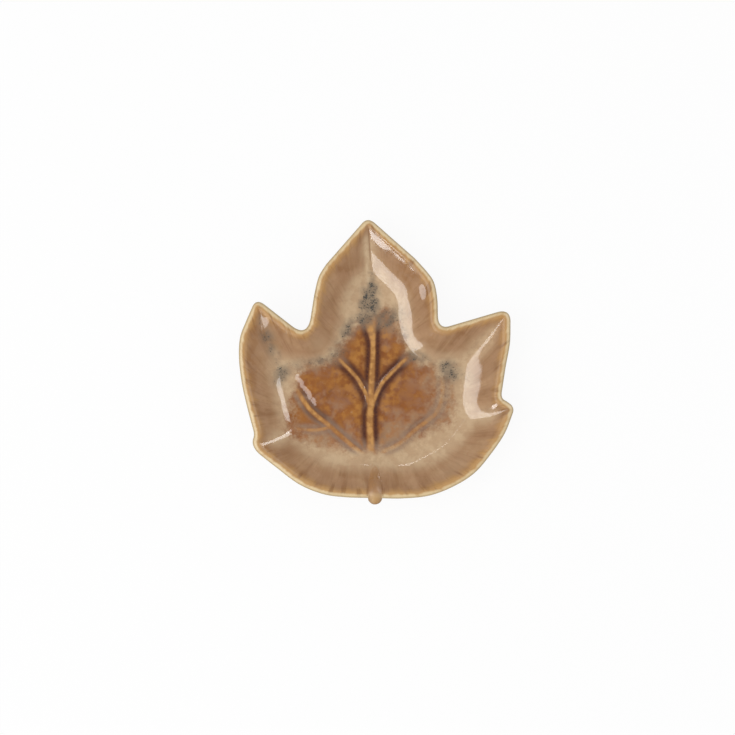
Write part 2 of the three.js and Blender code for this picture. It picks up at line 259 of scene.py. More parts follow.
@dataclass
class LeafOutline:
    """The finished rim seen from above, counter-clockwise from under the right tooth."""

    right_tooth: tuple = (68.1, -21.9)
    right_notch: tuple = (61.1, -18.1)
    right_tip: tuple = (66.1, 26.3)
    right_sinus: tuple = (30.1, 15.9)
    crown_tip: tuple = (-4.4, 71.4)
    left_sinus: tuple = (-34.3, 12.1)
    left_tip: tuple = (-59.2, 32.0)
    left_notch: tuple = (-59.6, -35.5)
    left_tooth: tuple = (-61.7, -41.3)
    right_tooth_end: tuple = (64.8, -19.9)
    right_notch_start: tuple = (63.2, -18.8)
    right_tip_end: tuple = (59.4, 24.6)
    right_sinus_start: tuple = (35.9, 17.7)
    crown_tip_start: tuple = (-0.6, 68.0)
    crown_tip_end: tuple = (-7.3, 67.8)
    left_sinus_end: tuple = (-41.9, 18.1)
    left_tip_start: tuple = (-54.2, 27.7)
    left_notch_end: tuple = (-60.4, -37.4)
    knot_steps: int = 24
    right_lobe: tuple = ((61.4, -15.0), (63.3, -2.6), (65.4, 9.2), (65.7, 18.9))
    crown_right: tuple = ((30.1, 23.4), (29.8, 31.4), (28.2, 39.1), (24.8, 44.3), (18.6, 51.1))
    crown_left: tuple = ((-24.7, 47.9), (-28.2, 42.1), (-30.2, 34.5), (-31.4, 27.3), (-32.4, 21.0))
    left_lobe: tuple = (
        (-61.2, 26.3), (-63.9, 20.1), (-66.8, 12.3), (-67.4, 2.5), (-66.1, -9.6), (-63.5, -21.5),
        (-60.5, -32.8),
    )
    bottom: tuple = (
        (-57.1, -45.3), (-49.1, -51.6), (-38.2, -59.7), (-26.8, -64.5), (-15.4, -66.2), (-0.7, -66.6),
        (12.6, -66.8), (25.9, -65.4), (38.0, -60.8), (48.2, -54.2), (56.5, -44.5), (62.9, -34.9),
        (66.7, -25.4),
    )

    def tips(self) -> list[tuple]:
        """Gives the corners that a valley runs in from, in order round the rim."""
        return [self.right_tooth, self.right_tip, self.crown_tip, self.left_tip, self.left_tooth]

    def points(self, count: int) -> Array:
        """Samples the rim at even steps.

        Args:
            count: Points round the rim.

        Returns:
            Points of the closed rim, the first not repeated.
        """
        runs = [
            self._round(self.bottom[-1], self.right_tooth, self.right_tooth_end),
            np.array([self.right_tooth_end]),
            self._round(self.right_notch_start, self.right_notch, self.right_lobe[0]),
            spline_points(self.right_lobe, self.knot_steps),
            self._round(self.right_lobe[-1], self.right_tip, self.right_tip_end),
            np.array([self.right_tip_end]),
            self._round(self.right_sinus_start, self.right_sinus, self.crown_right[0]),
            spline_points(self.crown_right, self.knot_steps),
            np.array([self.crown_right[-1]]),
            self._round(self.crown_tip_start, self.crown_tip, self.crown_tip_end),
            np.array([self.crown_tip_end]),
            spline_points(self.crown_left, self.knot_steps),
            self._round(self.crown_left[-1], self.left_sinus, self.left_sinus_end),
            np.array([self.left_sinus_end]),
            self._round(self.left_tip_start, self.left_tip, self.left_lobe[0]),
            spline_points(self.left_lobe, self.knot_steps),
            self._round(self.left_lobe[-1], self.left_notch, self.left_notch_end),
            self._round(self.left_notch_end, self.left_tooth, self.bottom[0]),
            spline_points(self.bottom, self.knot_steps),
            np.array([self.bottom[-1]]),
        ]
        return even_points(np.concatenate(runs), count + 1)[:-1]

    def _round(self, a: Sequence[float], corner: Sequence[float], b: Sequence[float]) -> Array:
        """Rounds a corner from a to b, without b.

        Args:
            a: Where the round starts.
            corner: The corner.
            b: Where the round ends.

        Returns:
            Points on the round.
        """
        t = np.linspace(0.0, 1.0, self.knot_steps, endpoint=False)[:, None]
        a, corner, b = np.asarray(a), np.asarray(corner), np.asarray(b)
        return (1 - t) ** 2 * a + 2 * t * (1 - t) * corner + t * t * b


@dataclass
class LeafPlan:
    """Lines that run down the wall from the rim to the floor, and on to the heart of the leaf."""

    outline: LeafOutline = field(default_factory=LeafOutline)
    heart: tuple = (-0.7, -25.9)
    stem_x: float = -0.7
    stem_reach: float = 5.0
    stem_drop: float = 20.0
    floor_inset: float = 22.0
    lines: int = 600
    rim_pieces: int = 600
    fine_pieces: int = 7200
    valley_pieces: int = 300
    length_unit: float = 100.0
    turn_cost: float = 0.16
    stem_cost: float = 0.022
    valley_reach: float = 0.11
    samples: int = 80
    walk_step: float = 0.5
    walk_turn: float = 0.8
    walk_choices: int = 33
    flow_squash: float = 0.25

    def __post_init__(self) -> None:
        """Lays the lines out."""
        self.rim = self.outline.points(self.rim_pieces)
        self.rim_tree = tree_of(self.outline.points(self.fine_pieces))
        self.centre = np.asarray(self.heart, float)
        straight = self._straight(self.rim)
        self.floor_edge = self._pick((straight, self._depths(straight)), self.floor_inset)
        self.valleys = [self._valley(tip) for tip in self.outline.tips()]
        self.valley_tree = tree_of(np.concatenate([even_points(v, self.valley_pieces) for v in self.valleys]))
        self._lay_lines()

    def inset(self, points: Array) -> Array:
        """Measures how far points in plan are from the rim."""
        return distance_to_tree(points, self.rim_tree)

    def ring(self, inset: float) -> Array:
        """Gives the level line at an inset from the rim.

        Args:
            inset: Distance from the rim. Past the floor's edge the lines close in on the heart.

        Returns:
            One point for each line.
        """
        return self._pick(self.wall_table if inset <= self.floor_inset else self.core_table, inset)

    def floor_ring(self, share: float) -> Array:
        """Gives a ring on the floor, from the heart at share 0 to the floor's edge at share 1."""
        return self.centre + (self.edge - self.centre) * share

    def valley_distance(self, points: Array) -> Array:
        """Measures how far points in plan are from the nearest valley."""
        return distance_to_tree(points, self.valley_tree)

    def flow(self, line: Array, inset: Array) -> Array:
        """Gives coordinates in metres that run round the rim and, drawn short, down the wall.

        Args:
            line: The line that each point is on.
            inset: The points' insets.

        Returns:
            Three coordinates for each point.
        """
        turn = 2 * math.pi * self.run[line] / self.perimeter
        radius = self.perimeter / (2 * math.pi)
        down = inset * self.flow_squash
        return np.stack([np.cos(turn) * radius, np.sin(turn) * radius, down], 1) * MM

    def _straight(self, start: Array) -> Array:
        """Samples straight lines from points to the heart."""
        share = np.linspace(0.0, 1.0, self.samples)[None, :, None]
        return start[:, None, :] * (1 - share) + self.centre * share

    def _depths(self, paths: Array) -> Array:
        """Measures the inset along sampled lines, never falling."""
        depth = self.inset(paths.reshape(-1, 2)).reshape(paths.shape[:2])
        return np.maximum.accumulate(depth, axis=1)

    @staticmethod
    def _pick(table: tuple[Array, Array], inset: float) -> Array:
        """Looks an inset up along sampled lines.

        Args:
            table: Points along the lines, and their insets.
            inset: The inset to find.

        Returns:
            One point for each line.
        """
        paths, depths = table
        last = depths.shape[1] - 1
        above = np.clip(np.argmax(depths >= inset, axis=1), 1, last)
        above = np.where(depths[:, -1] < inset, last, above)
        rows = np.arange(len(paths))
        low, high = depths[rows, above - 1], depths[rows, above]
        t = np.clip((inset - low) / np.maximum(high - low, LEAST_STEP), 0.0, 1.0)[:, None]
        return paths[rows, above - 1] * (1 - t) + paths[rows, above] * t

    def _valley(self, tip: Sequence[float]) -> Array:
        """Walks from a tip to the floor along the points that are farthest from the rim.

        Args:
            tip: A corner of the outline.

        Returns:
            Points of the valley, the tip first.
        """
        start = self.rim[np.argmin(np.hypot(*(self.rim - tip).T))]
        heading = math.atan2(*(self.centre - start)[::-1])
        walk = [start]
        turns = np.linspace(-self.walk_turn, self.walk_turn, self.walk_choices)
        while self.inset(walk[-1][None])[0] < self.floor_inset:
            ways = np.stack([np.cos(heading + turns), np.sin(heading + turns)], 1)
            ahead = walk[-1] + self.walk_step * ways
            best = int(np.argmax(self.inset(ahead)))
            heading += turns[best]
            walk.append(ahead[best])
        return np.array(walk)

    def _effort(self) -> Array:
        """Weighs each step along the rim by its length, how sharply it turns, and the stem.

        Returns:
            One weight for each step.
        """
        step = np.roll(self.rim, -1, 0) - self.rim
        angle = np.unwrap(np.arctan2(step[:, 1], step[:, 0]))
        turn = np.abs(np.diff(angle, prepend=angle[-1] - 2 * math.pi))
        turn = np.minimum(turn, 2 * math.pi - turn)
        low = self.rim[:, 1] < self.centre[1] - self.stem_drop
        stem = low * np.exp(-(((self.rim[:, 0] - self.stem_x) / self.stem_reach) ** 4))
        length = np.hypot(*step.T) / self.length_unit
        bend = self.turn_cost * (turn + np.roll(turn, -1)) / 2
        return length + bend + self.stem_cost * stem

    @staticmethod
    def _share_out(line: Array, first: int, last: int, count: int, effort: Array) -> Array:
        """Places points along a stretch of a closed line, at even shares of its effort.

        Args:
            line: The closed line.
            first: Where the stretch starts on it.
            last: Where the stretch ends.
            count: Points wanted.
            effort: Weight of each step along the line.

        Returns:
            The points, without the stretch's end.
        """
        steps = (last - first) % len(line)
        index = (first + np.arange(steps + 1)) % len(line)
        total = np.concatenate([[0.0], np.cumsum(effort[index[:-1]])])
        goal = total[-1] * np.arange(count) / count
        return np.stack([np.interp(goal, total, line[index, k]) for k in range(2)], 1)

    def _lay_lines(self) -> None:
        """Lays lines from tip to tip, bent along the valleys that they are near."""
        starts = [int(np.argmin(np.hypot(*(self.rim - v[0]).T))) for v in self.valleys]
        ends = [int(np.argmin(np.hypot(*(self.floor_edge - v[-1]).T))) for v in self.valleys]
        effort = self._effort()
        edge_step = np.hypot(*(np.roll(self.floor_edge, -1, 0) - self.floor_edge).T)
        spans = []
        for k in range(len(starts)):
            steps = (starts[(k + 1) % len(starts)] - starts[k]) % len(self.rim)
            spans.append(effort[(starts[k] + np.arange(steps)) % len(self.rim)].sum())
        bounds = np.round(np.cumsum([0.0] + spans) / sum(spans) * self.lines).astype(int)
        rim, edge, bend = [], [], []
        share = np.linspace(0.0, 1.0, self.samples)
        for k, count in enumerate(np.diff(bounds)):
            after = (k + 1) % len(starts)
            rim.append(self._share_out(self.rim, starts[k], starts[after], count, effort))
            edge.append(self._share_out(self.floor_edge, ends[k], ends[after], count, edge_step))
            reach = self.valley_reach * self.lines
            near = np.clip(1 - np.arange(count) / reach, 0.0, 1.0)
            far = np.clip(1 - (count - np.arange(count)) / reach, 0.0, 1.0)
            bows = [self._bow(self.valleys[j], share) for j in (k, after)]
            bend.append(near[:, None, None] * bows[0] + far[:, None, None] * bows[1])
        self.rim_points = np.concatenate(rim)
        self.edge = np.concatenate(edge)
        self.run = np.concatenate([[0.0], np.cumsum(np.hypot(*np.diff(self.rim_points, axis=0).T))])
        self.perimeter = self.run[-1] + math.hypot(*(self.rim_points[0] - self.rim_points[-1]))
        s = share[None, :, None]
        paths = self.rim_points[:, None] * (1 - s) + self.edge[:, None] * s + np.concatenate(bend)
        self.wall_table = (paths, self._depths(paths))
        core = self._straight(self.edge)
        self.core_table = (core, self._depths(core))

    @staticmethod
    def _bow(valley: Array, share: Array) -> Array:
        """Gives how far a valley bows from the straight line between its ends.

        Args:
            valley: Points of the valley.
            share: Places along it, 0 to 1.

        Returns:
            One offset in plan for each place.
        """
        at = share * (len(valley) - 1)
        on = np.stack([np.interp(at, np.arange(len(valley)), valley[:, k]) for k in range(2)], 1)
        return on - (valley[0] + (valley[-1] - valley[0]) * share[:, None])


@dataclass
class DishSection:
    """The dish cut from rim to heart: pairs of inset and height.

    The seam is where coat and clay meet out of sight, measured from the clay's face.
    """

    rim_height: float = 19.5
    wall: float = 3.4
    slope: float = math.radians(42.0)
    floor_height: float = 7.5
    floor_inset: float = 22.0
    floor_thickness: float = 4.5
    foot_inset: float = 24.5
    foot_width: float = 3.4
    foot_draft: float = 0.6
    glaze: float = 0.5
    bare_foot: float = 1.2
    floor_clay: float = 6.3
    seam: float = -0.6
    tuck_slope: float = math.radians(36.4)
    curve_points: int = 200

    def __post_init__(self) -> None:
        """Works out the lip, the wall's curve and the base."""
        self.lip_radius = self.wall / 2
        self.lip_centre = np.array([self.glaze + self.lip_radius, self.rim_height - self.lip_radius])
        self.lean = np.array([math.sin(self.slope), math.cos(self.slope)])
        self.wall_top = self.lip_centre + self.lip_radius * self.lean
        run = (self.wall_top[1] - self.floor_height) / math.tan(self.slope)
        self.knee = np.array([self.wall_top[0] + run, self.floor_height])
        self.floor_edge = np.array([self.floor_inset, self.floor_height])
        self.base = self.floor_height - self.floor_thickness

    def wall_curve(self, count: int, out: float) -> Array:
        """Samples the wall from the floor's edge to the lip.

        Args:
            count: Points wanted.
            out: Offset to the upper side, negative to the lower side.

        Returns:
            Pairs of inset and height.
        """
        t = np.linspace(0.0, 1.0, count)[:, None]
        a, b, c = self.floor_edge, self.knee, self.wall_top
        at = (1 - t) ** 2 * a + 2 * t * (1 - t) * b + t * t * c
        along = 2 * (1 - t) * (b - a) + 2 * t * (c - b)
        normal = np.stack([along[:, 1], -along[:, 0]], 1)
        return at + out * normal / np.linalg.norm(normal, axis=1, keepdims=True)

    def slack(self, inset: Array) -> Array:
        """Gives how far the wall's curve lies over a straight wall and the flat floor.

        Args:
            inset: Insets from the rim.

        Returns:
            Heights, negative where the curve lies lower.
        """
        curve = self.wall_curve(self.curve_points, 0.0)[::-1]
        down = (inset - self.wall_top[0]) * math.tan(self.tuck_slope)
        straight = np.maximum(self.floor_height, self.wall_top[1] - down)
        over = np.interp(inset, curve[:, 0], curve[:, 1]) - straight
        return np.where(inset > self.wall_top[0], over, 0.0)

    def lip(self, count: int, coat: float) -> Array:
        """Samples the round of the lip from the inside over the top to the outside.

        Args:
            count: Points wanted.
            coat: Thickness of glaze on it.

        Returns:
            Pairs of inset and height.
        """
        angle = math.pi / 2 - self.slope + np.linspace(0.0, math.pi, count)
        radius = self.lip_radius + coat
        return self.lip_centre + radius * np.stack([np.cos(angle), np.sin(angle)], 1)

    def outside(self, count: int, coat: float) -> Array:
        """Samples the outside of the wall from the lip down to the floor's edge."""
        return self.wall_curve(count, -self.wall - coat)[::-1]

    def foot_side(self, height: float) -> float:
        """Gives the inset of the foot's outer face at a height."""
        return self.foot_inset - self.foot_draft * height / self.base


@dataclass
class Vein:
    """One raised vein, with a groove on each side."""

    path: tuple
    widths: tuple
    joined: bool = False
    flare: float = 0.0
    strength: float = 1.0
    honey: float = 1.0
    grey: float = 0.0
    knot_steps: int = 12
    line_points: int = 70
    flare_span: tuple = (0.8, 1.0)
    end_fade: tuple = (-1.5, 6.0)
    edge_fade: tuple = (-4.0, 2.0)

    def line(self) -> Array:
        """Gives the centre line as many points."""
        curve = np.vstack([spline_points(self.path, self.knot_steps), [self.path[-1]]])
        return even_points(curve, self.line_points)

    def measure(self, points: Array, margin: Array) -> tuple[Array, Array, Array]:
        """Measures points against the vein.

        Args:
            points: Points in plan.
            margin: How far each point is inside the floor's edge.

        Returns:
            Distance from the centre line, half the vein's width there, and how far it is raised, 0 to 1.
        """
        line = self.line()
        length = np.hypot(*np.diff(line, axis=0).T).sum()
        reach, place, _ = distance_to_line(points, line)
        share = place / (len(line) - 1)
        half = (self.widths[0] + (self.widths[1] - self.widths[0]) * share) / 2
        half = half * (1 + self.flare * smoothstep(share, *self.flare_span))
        raised = self.strength * smoothstep(length * (1 - share), *self.end_fade)
        raised = raised * smoothstep(margin, *self.edge_fade)
        if not self.joined:
            raised = raised * smoothstep(length * share, *self.end_fade)
        return reach, half, raised


@dataclass
class Veins:
    """All veins of the leaf, raised out of the floor, and the swollen bank beside one of them."""

    rib_height: float = 0.3
    full_half: float = 1.6
    rib_sides: tuple = (0.1, 1.9)
    crest_sides: tuple = (0.35, 1.05)
    groove_place: float = 0.42
    groove_spread: float = 0.5
    groove_depth: float = 0.17
    groove_width: float = 2.9
    dark_place: float = 0.8
    dark_reach: float = 1.4
    shade_reach: float = 4.5
    glow_place: float = 1.5
    glow_reach: float = 2.6
    ragged: float = 0.32
    coarse_wave: float = 37.0
    fine_wave: float = 71.0
    fine_share: float = 0.7
    bank_start: tuple = (0.0, 0.2)
    bank_end: tuple = (0.6, 0.85)
    bank_rise: tuple = (1.6, 5.8)
    bank_fall: tuple = (6.5, 22.0)
    swelling: float = 1.15
    bank: tuple = ((-44.4, -5.9), (-40.0, -12.5), (-32.9, -23.1), (-25.0, -30.0))
    veins: tuple = (
        Vein(
            (
                (-2.6, -46.5), (-2.8, -41.6), (-3.2, -29.8), (-2.7, -17.6), (-1.7, 4.0), (-1.9, 11.8),
                (-3.3, 21.5),
            ),
            (4.4, 2.7), flare=1.3,
        ),
        Vein(
            ((-2.9, -22.5), (-5.4, -15.2), (-9.0, -8.7), (-12.1, -4.8), (-15.3, -1.8), (-20.0, 3.4)),
            (2.6, 1.9), joined=True, strength=0.9,
        ),
        Vein(
            ((-2.5, -22.5), (0.4, -14.6), (3.3, -9.7), (6.8, -5.9), (10.9, -1.8), (17.0, 3.8)),
            (2.6, 1.9), joined=True,
        ),
        Vein(
            ((-4.6, -46.4), (-9.0, -43.6), (-15.0, -38.6), (-23.6, -31.0), (-32.9, -23.1), (-40.0, -12.5)),
            (2.6, 2.6), grey=0.5,
        ),
        Vein(
            ((-22.5, -32.0), (-29.0, -33.4), (-37.0, -33.2), (-45.0, -32.0)),
            (2.0, 1.8), joined=True, strength=0.75, grey=0.8,
        ),
        Vein(
            (
                (0.6, -46.2), (4.7, -43.5), (11.5, -40.1), (19.4, -33.2), (26.2, -28.1), (30.6, -23.4),
                (32.6, -15.6), (32.6, -7.5),
            ),
            (2.4, 2.4), strength=0.85, honey=0.6, grey=1.0,
        ),
    )

    def relief(self, points: Array, margin: Array) -> tuple[Array, dict[Mask, Array]]:
        """Raises the veins.

        Args:
            points: Points in plan.
            margin: How far each point is inside the floor's edge.

        Returns:
            Height over the flat floor, and masks of the veins' crests, their dark grooves, the grooves
            that are grey, the shade about them and the golden glow beyond it.
        """
        rib, crest, groove, dark, grey, shade, glow = np.zeros((7, len(points)))
        for vein in self.veins:
            reach, half, raised = vein.measure(points, margin)
            full = raised * np.minimum(half / self.full_half, 1.0)
            rib = np.maximum(rib, full * self._side(reach, half, self.rib_sides))
            crest = np.maximum(crest, vein.honey * raised * self._side(reach, half, self.crest_sides))
            away = reach - half - self.groove_place * self.groove_width
            groove = np.maximum(groove, raised * bell(away, self.groove_spread * self.groove_width))
            line = raised * bell(reach - half - self.dark_place, self.dark_reach)
            dark = np.maximum(dark, line)
            grey = np.maximum(grey, vein.grey * line)
            wide = raised * bell(reach - half, self.shade_reach)
            shade = np.maximum(shade, wide * (1 - vein.grey))
            beyond = raised * bell(reach - half - self.glow_place * self.groove_width, self.glow_reach)
            glow = np.maximum(glow, beyond * (1 - vein.grey))
        groove = groove * (1 - crest)
        height = self.rib_height * rib - self.groove_depth * groove + self.swelling * self._bank(points)
        glow = glow * (1 - groove) * (1 - crest)
        dark = dark * (1 - crest)
        return height, {
            Mask.CREST: crest, Mask.GROOVE: dark, Mask.GREY: grey, Mask.SHADE: shade, Mask.GLOW: glow,
        }

    @staticmethod
    def _side(reach: Array, half: Array, parts: tuple) -> Array:
        """Falls from 1 to 0 between two parts of a vein's half width."""
        return 1 - smoothstep(reach, parts[0] * half, parts[1] * half)

    def _bank(self, points: Array) -> Array:
        """Gives the shape of the swollen bank, 0 to 1.

        Args:
            points: Points in plan.

        Returns:
            One number for each point.
        """
        line = np.array(self.bank)
        reach, place, side = distance_to_line(points, line)
        share = place / (len(line) - 1)
        fine = self.fine_share * np.sin(share * self.fine_wave + 1.0)
        reach = reach + self.ragged * (np.sin(share * self.coarse_wave) + fine)
        along = smoothstep(share, *self.bank_start) * (1 - smoothstep(share, *self.bank_end))
        across = smoothstep(reach, *self.bank_rise)
        return along * across * (1 - smoothstep(reach, *self.bank_fall)) * (side < 0)


@dataclass
class Stem:
    """The stem that climbs the wall under the heart and ends in a nub past the rim.

    Each station gives an inset, how far the stem stands out of the wall, and its radius.
    """

    x: float = -0.7
    rim_y: float = -66.6
    blend: float = 1.1
    stations: tuple = ((16.5, -0.6, 2.2), (13.0, 0.7, 2.7), (9.0, 1.5, 3.0), (5.4, 1.7, 3.3))
    lip_station: tuple = (2.6, 17.3, 3.5)
    nub: tuple = (0.4, 15.9, 3.65)
    curve_points: int = 400
    knot_steps: int = 16
    bead_count: int = 90
    width_insets: tuple = (3.0, 9.0, 16.0)
    half_widths: tuple = (3.7, 3.1, 2.3)
    end_fade: tuple = (12.5, 17.0)
    end_gain: float = 1.2
    length: float = 30.0
    far: float = 9.0
    search_height: float = 9.0
    search_steps: int = 90
    search_half: float = 6.5
    search_length: float = 21.0

    def beads(self, section: DishSection) -> tuple[Array, Array]:
        """Strings the stem out as many balls.

        Args:
            section: The dish that the stem lies on.

        Returns:
            Centres and radii of the balls.
        """
        curve = section.wall_curve(self.curve_points, section.glaze)[::-1]
        lean = np.arctan2(-np.gradient(curve[:, 1]), np.gradient(curve[:, 0]))
        knots = []
        for inset, rise, radius in self.stations:
            height, tilt = (float(np.interp(inset, curve[:, 0], row)) for row in (curve[:, 1], lean))
            down = radius - rise
            knots.append((inset - down * math.sin(tilt), height - down * math.cos(tilt), radius))
        knots += [self.lip_station, self.nub]
        line = np.vstack([spline_points(knots, self.knot_steps), [knots[-1]]])
        run = even_points(line, self.bead_count)
        centres = np.stack([np.full(len(run), self.x), self.rim_y + run[:, 0], run[:, 1]], 1)
        return centres, run[:, 2]

    def across(self, points: Array, inset: Array) -> Array:
        """Gives how far points are from the stem's middle line, 1 at its edges and more past its end.

        Args:
            points: Points of the dish.
            inset: Their insets.

        Returns:
            Distances in half widths of the stem.
        """
        half = np.interp(inset, self.width_insets, self.half_widths)
        low = points[:, 1] < self.rim_y + self.length
        past = smoothstep(inset, *self.end_fade) * self.end_gain
        return np.where(low, np.abs(points[:, 0] - self.x) / half + past, self.far)

    def grow(self, points: Array, normals: Array, section: DishSection) -> Array:
        """Pushes points of the dish out to the stem's surface.

        Args:
            points: Points of the dish.
            normals: Their outward normals, nought where a point must stay.
            section: The dish that the stem lies on.

        Returns:
            The moved points.
        """
        centres, radii = self.beads(section)
        out = np.linspace(self.search_height, -section.lip_radius - section.glaze, self.search_steps)
        near = np.abs(points[:, 0] - self.x) < self.search_half
        near &= points[:, 1] < self.rim_y + self.search_length
        near &= np.abs(normals).sum(axis=1) > 0
        push = np.zeros(len(points))
        for i in np.nonzero(near)[0]:
            along = points[i] + out[:, None] * normals[i]
            gap = (np.linalg.norm(along[:, None, :] - centres[None], axis=2) - radii[None]).min(axis=1)
            first = int(np.argmax(gap <= 0.0))
            if gap[first] > 0.0:
                continue
            hit = out[first]
            if first > 0:
                hit += (out[first - 1] - out[first]) * -gap[first] / (gap[first - 1] - gap[first])
            push[i] = smooth_max(hit, 0.0, self.blend) if hit > -self.blend else 0.0
        return points + push[:, None] * normals


@dataclass(frozen=True)
class Patch:
    """A soft oval patch in plan."""

    x: float
    y: float
    wide: float
    tall: float
    turn: float = 0.0
    strength: float = 1.0

    def at(self, points: Array) -> Array:
        """Gives the patch's strength at points in plan.

        Args:
            points: Points in plan.

        Returns:
            One number for each point.
        """
        c, s = math.cos(math.radians(self.turn)), math.sin(math.radians(self.turn))
        dx, dy = points[:, 0] - self.x, points[:, 1] - self.y
        u, v = (dx * c + dy * s) / self.wide, (dy * c - dx * s) / self.tall
        return self.strength * np.exp(-(u * u + v * v))


def patches_at(patches: Sequence[Patch], points: Array) -> Array:
    """Lays patches over each other and gives the strongest at each point."""
    return np.max([patch.at(points) for patch in patches], axis=0)


class NodeSheet:
    """Adds shader nodes to one tree and links them."""

    def __init__(self, tree: bpy.types.NodeTree) -> None:
        """Starts on an empty tree."""
        self.tree = tree
        tree.nodes.clear()

    def add(self, kind: str, **settings: object) -> bpy.types.Node:
        """Adds a node and sets its properties.

        Args:
            kind: The node's type.
            settings: Its properties by name.

        Returns:
            The node.
        """
        node = self.tree.nodes.new(kind)
        for name, value in settings.items():
            setattr(node, name, value)
        return node

    def feed(self, socket: Socket, value: Input) -> None:
        """Links a socket to another one, or sets its value.

        Args:
            socket: The socket to feed.
            value: A socket to link from, or a value.
        """
        if isinstance(value, bpy.types.NodeSocket):
            self.tree.links.new(value, socket)
        else:
            socket.default_value = value

    def math(self, operation: str, a: Input, b: Input) -> Socket:
        """Adds a math node and returns its value.

        Args:
            operation: The sum to do.
            a: First value.
            b: Second value.

        Returns:
            The result.
        """
        node = self.add("ShaderNodeMath", operation=operation)
        self.feed(node.inputs[0], a)
        self.feed(node.inputs[1], b)
        return node.outputs[0]

    def ease(self, value: Input, low: float, high: float, to: tuple = (0.0, 1.0)) -> Socket:
        """Maps a value smoothly from a range to another and returns it.

        Args:
            value: The value.
            low: Where the result leaves its first end.
            high: Where it reaches its second end.
            to: The two ends.

        Returns:
            The mapped value.
        """
        node = self.add("ShaderNodeMapRange", interpolation_type="SMOOTHSTEP", clamp=True)
        for name, number in zip(("From Min", "From Max", "To Min", "To Max"), (low, high, *to)):
            node.inputs[name].default_value = number
        self.feed(node.inputs["Value"], value)
        return node.outputs["Result"]

    def blend(self, share: Input, a: Input, b: Input) -> Socket:
        """Blends two colours and returns the result.

        Args:
            share: Share of the second colour.
            a: First colour.
            b: Second colour.

        Returns:
            The blended colour.
        """
        node = self.add("ShaderNodeMix", data_type="RGBA", clamp_factor=True)
        self.feed(node.inputs[0], share)
        self.feed(node.inputs[MIX_A], a)
        self.feed(node.inputs[MIX_B], b)
        return node.outputs[MIX_RESULT]

    def noise(self, at: Input, scale: float, detail: float, rough: float) -> Socket:
        """Adds a noise of about scale waves to the unit and returns its value.

        Args:
            at: Place.
            scale: Waves to the unit.
            detail: Finer layers.
            rough: Strength of the finer layers.

        Returns:
            The noise, 0 to 1.
        """
        node = self.add("ShaderNodeTexNoise")
        node.inputs["Scale"].default_value = scale
        node.inputs["Detail"].default_value = detail
        node.inputs["Roughness"].default_value = rough
        self.feed(node.inputs["Vector"], at)
        return node.outputs["Fac"]

    def painted(self, name: str, output: str = "Fac") -> Socket:
        """Reads a value painted on the mesh."""
        return self.add("ShaderNodeAttribute", attribute_name=name).outputs[output]

    def mask(self, mask: Mask) -> Socket:
        """Reads a mask painted on the glaze."""
        return self.painted(mask.value)

    def times(self, a: Input, b: Input) -> Socket:
        """Multiplies two values."""
        return self.math("MULTIPLY", a, b)

    def place(self) -> Socket:
        """Gives the place on the object."""
        return self.add("ShaderNodeTexCoord").outputs["Object"]

    def group(self, tree: bpy.types.NodeTree, **values: Input) -> bpy.types.Node:
        """Adds a node group and feeds its inputs by name.

        Args:
            tree: The group.
            values: Its inputs by name.

        Returns:
            The node.
        """
        node = self.add("ShaderNodeGroup", node_tree=tree)
        for name, value in values.items():
            self.feed(node.inputs[name], value)
        return node

    def surface(self, color: Socket, roughness: Input, ior: float, height: Socket, depth: float) -> None:
        """Ends a material with a shader.

        Args:
            color: The base colour.
            roughness: The roughness.
            ior: The index of refraction.
            height: The height of the bumps.
            depth: The bumps' depth in metres.
        """
        shader = self.add("ShaderNodeBsdfPrincipled")
        self.feed(shader.inputs["Base Color"], color)
        self.feed(shader.inputs["Roughness"], roughness)
        shader.inputs["IOR"].default_value = ior
        bump = self.add("ShaderNodeBump")
        bump.inputs["Distance"].default_value = depth
        self.feed(bump.inputs["Height"], height)
        self.feed(shader.inputs["Normal"], bump.outputs["Normal"])
        self.feed(self.add("ShaderNodeOutputMaterial").inputs["Surface"], shader.outputs["BSDF"])


def new_material(name: str) -> tuple[bpy.types.Material, NodeSheet]:
    """Opens a node material.

    Args:
        name: The material's name.

    Returns:
        The material and a sheet on its tree.
    """
    made = bpy.data.materials.new(name)
    made.use_nodes = True
    return made, NodeSheet(made.node_tree)


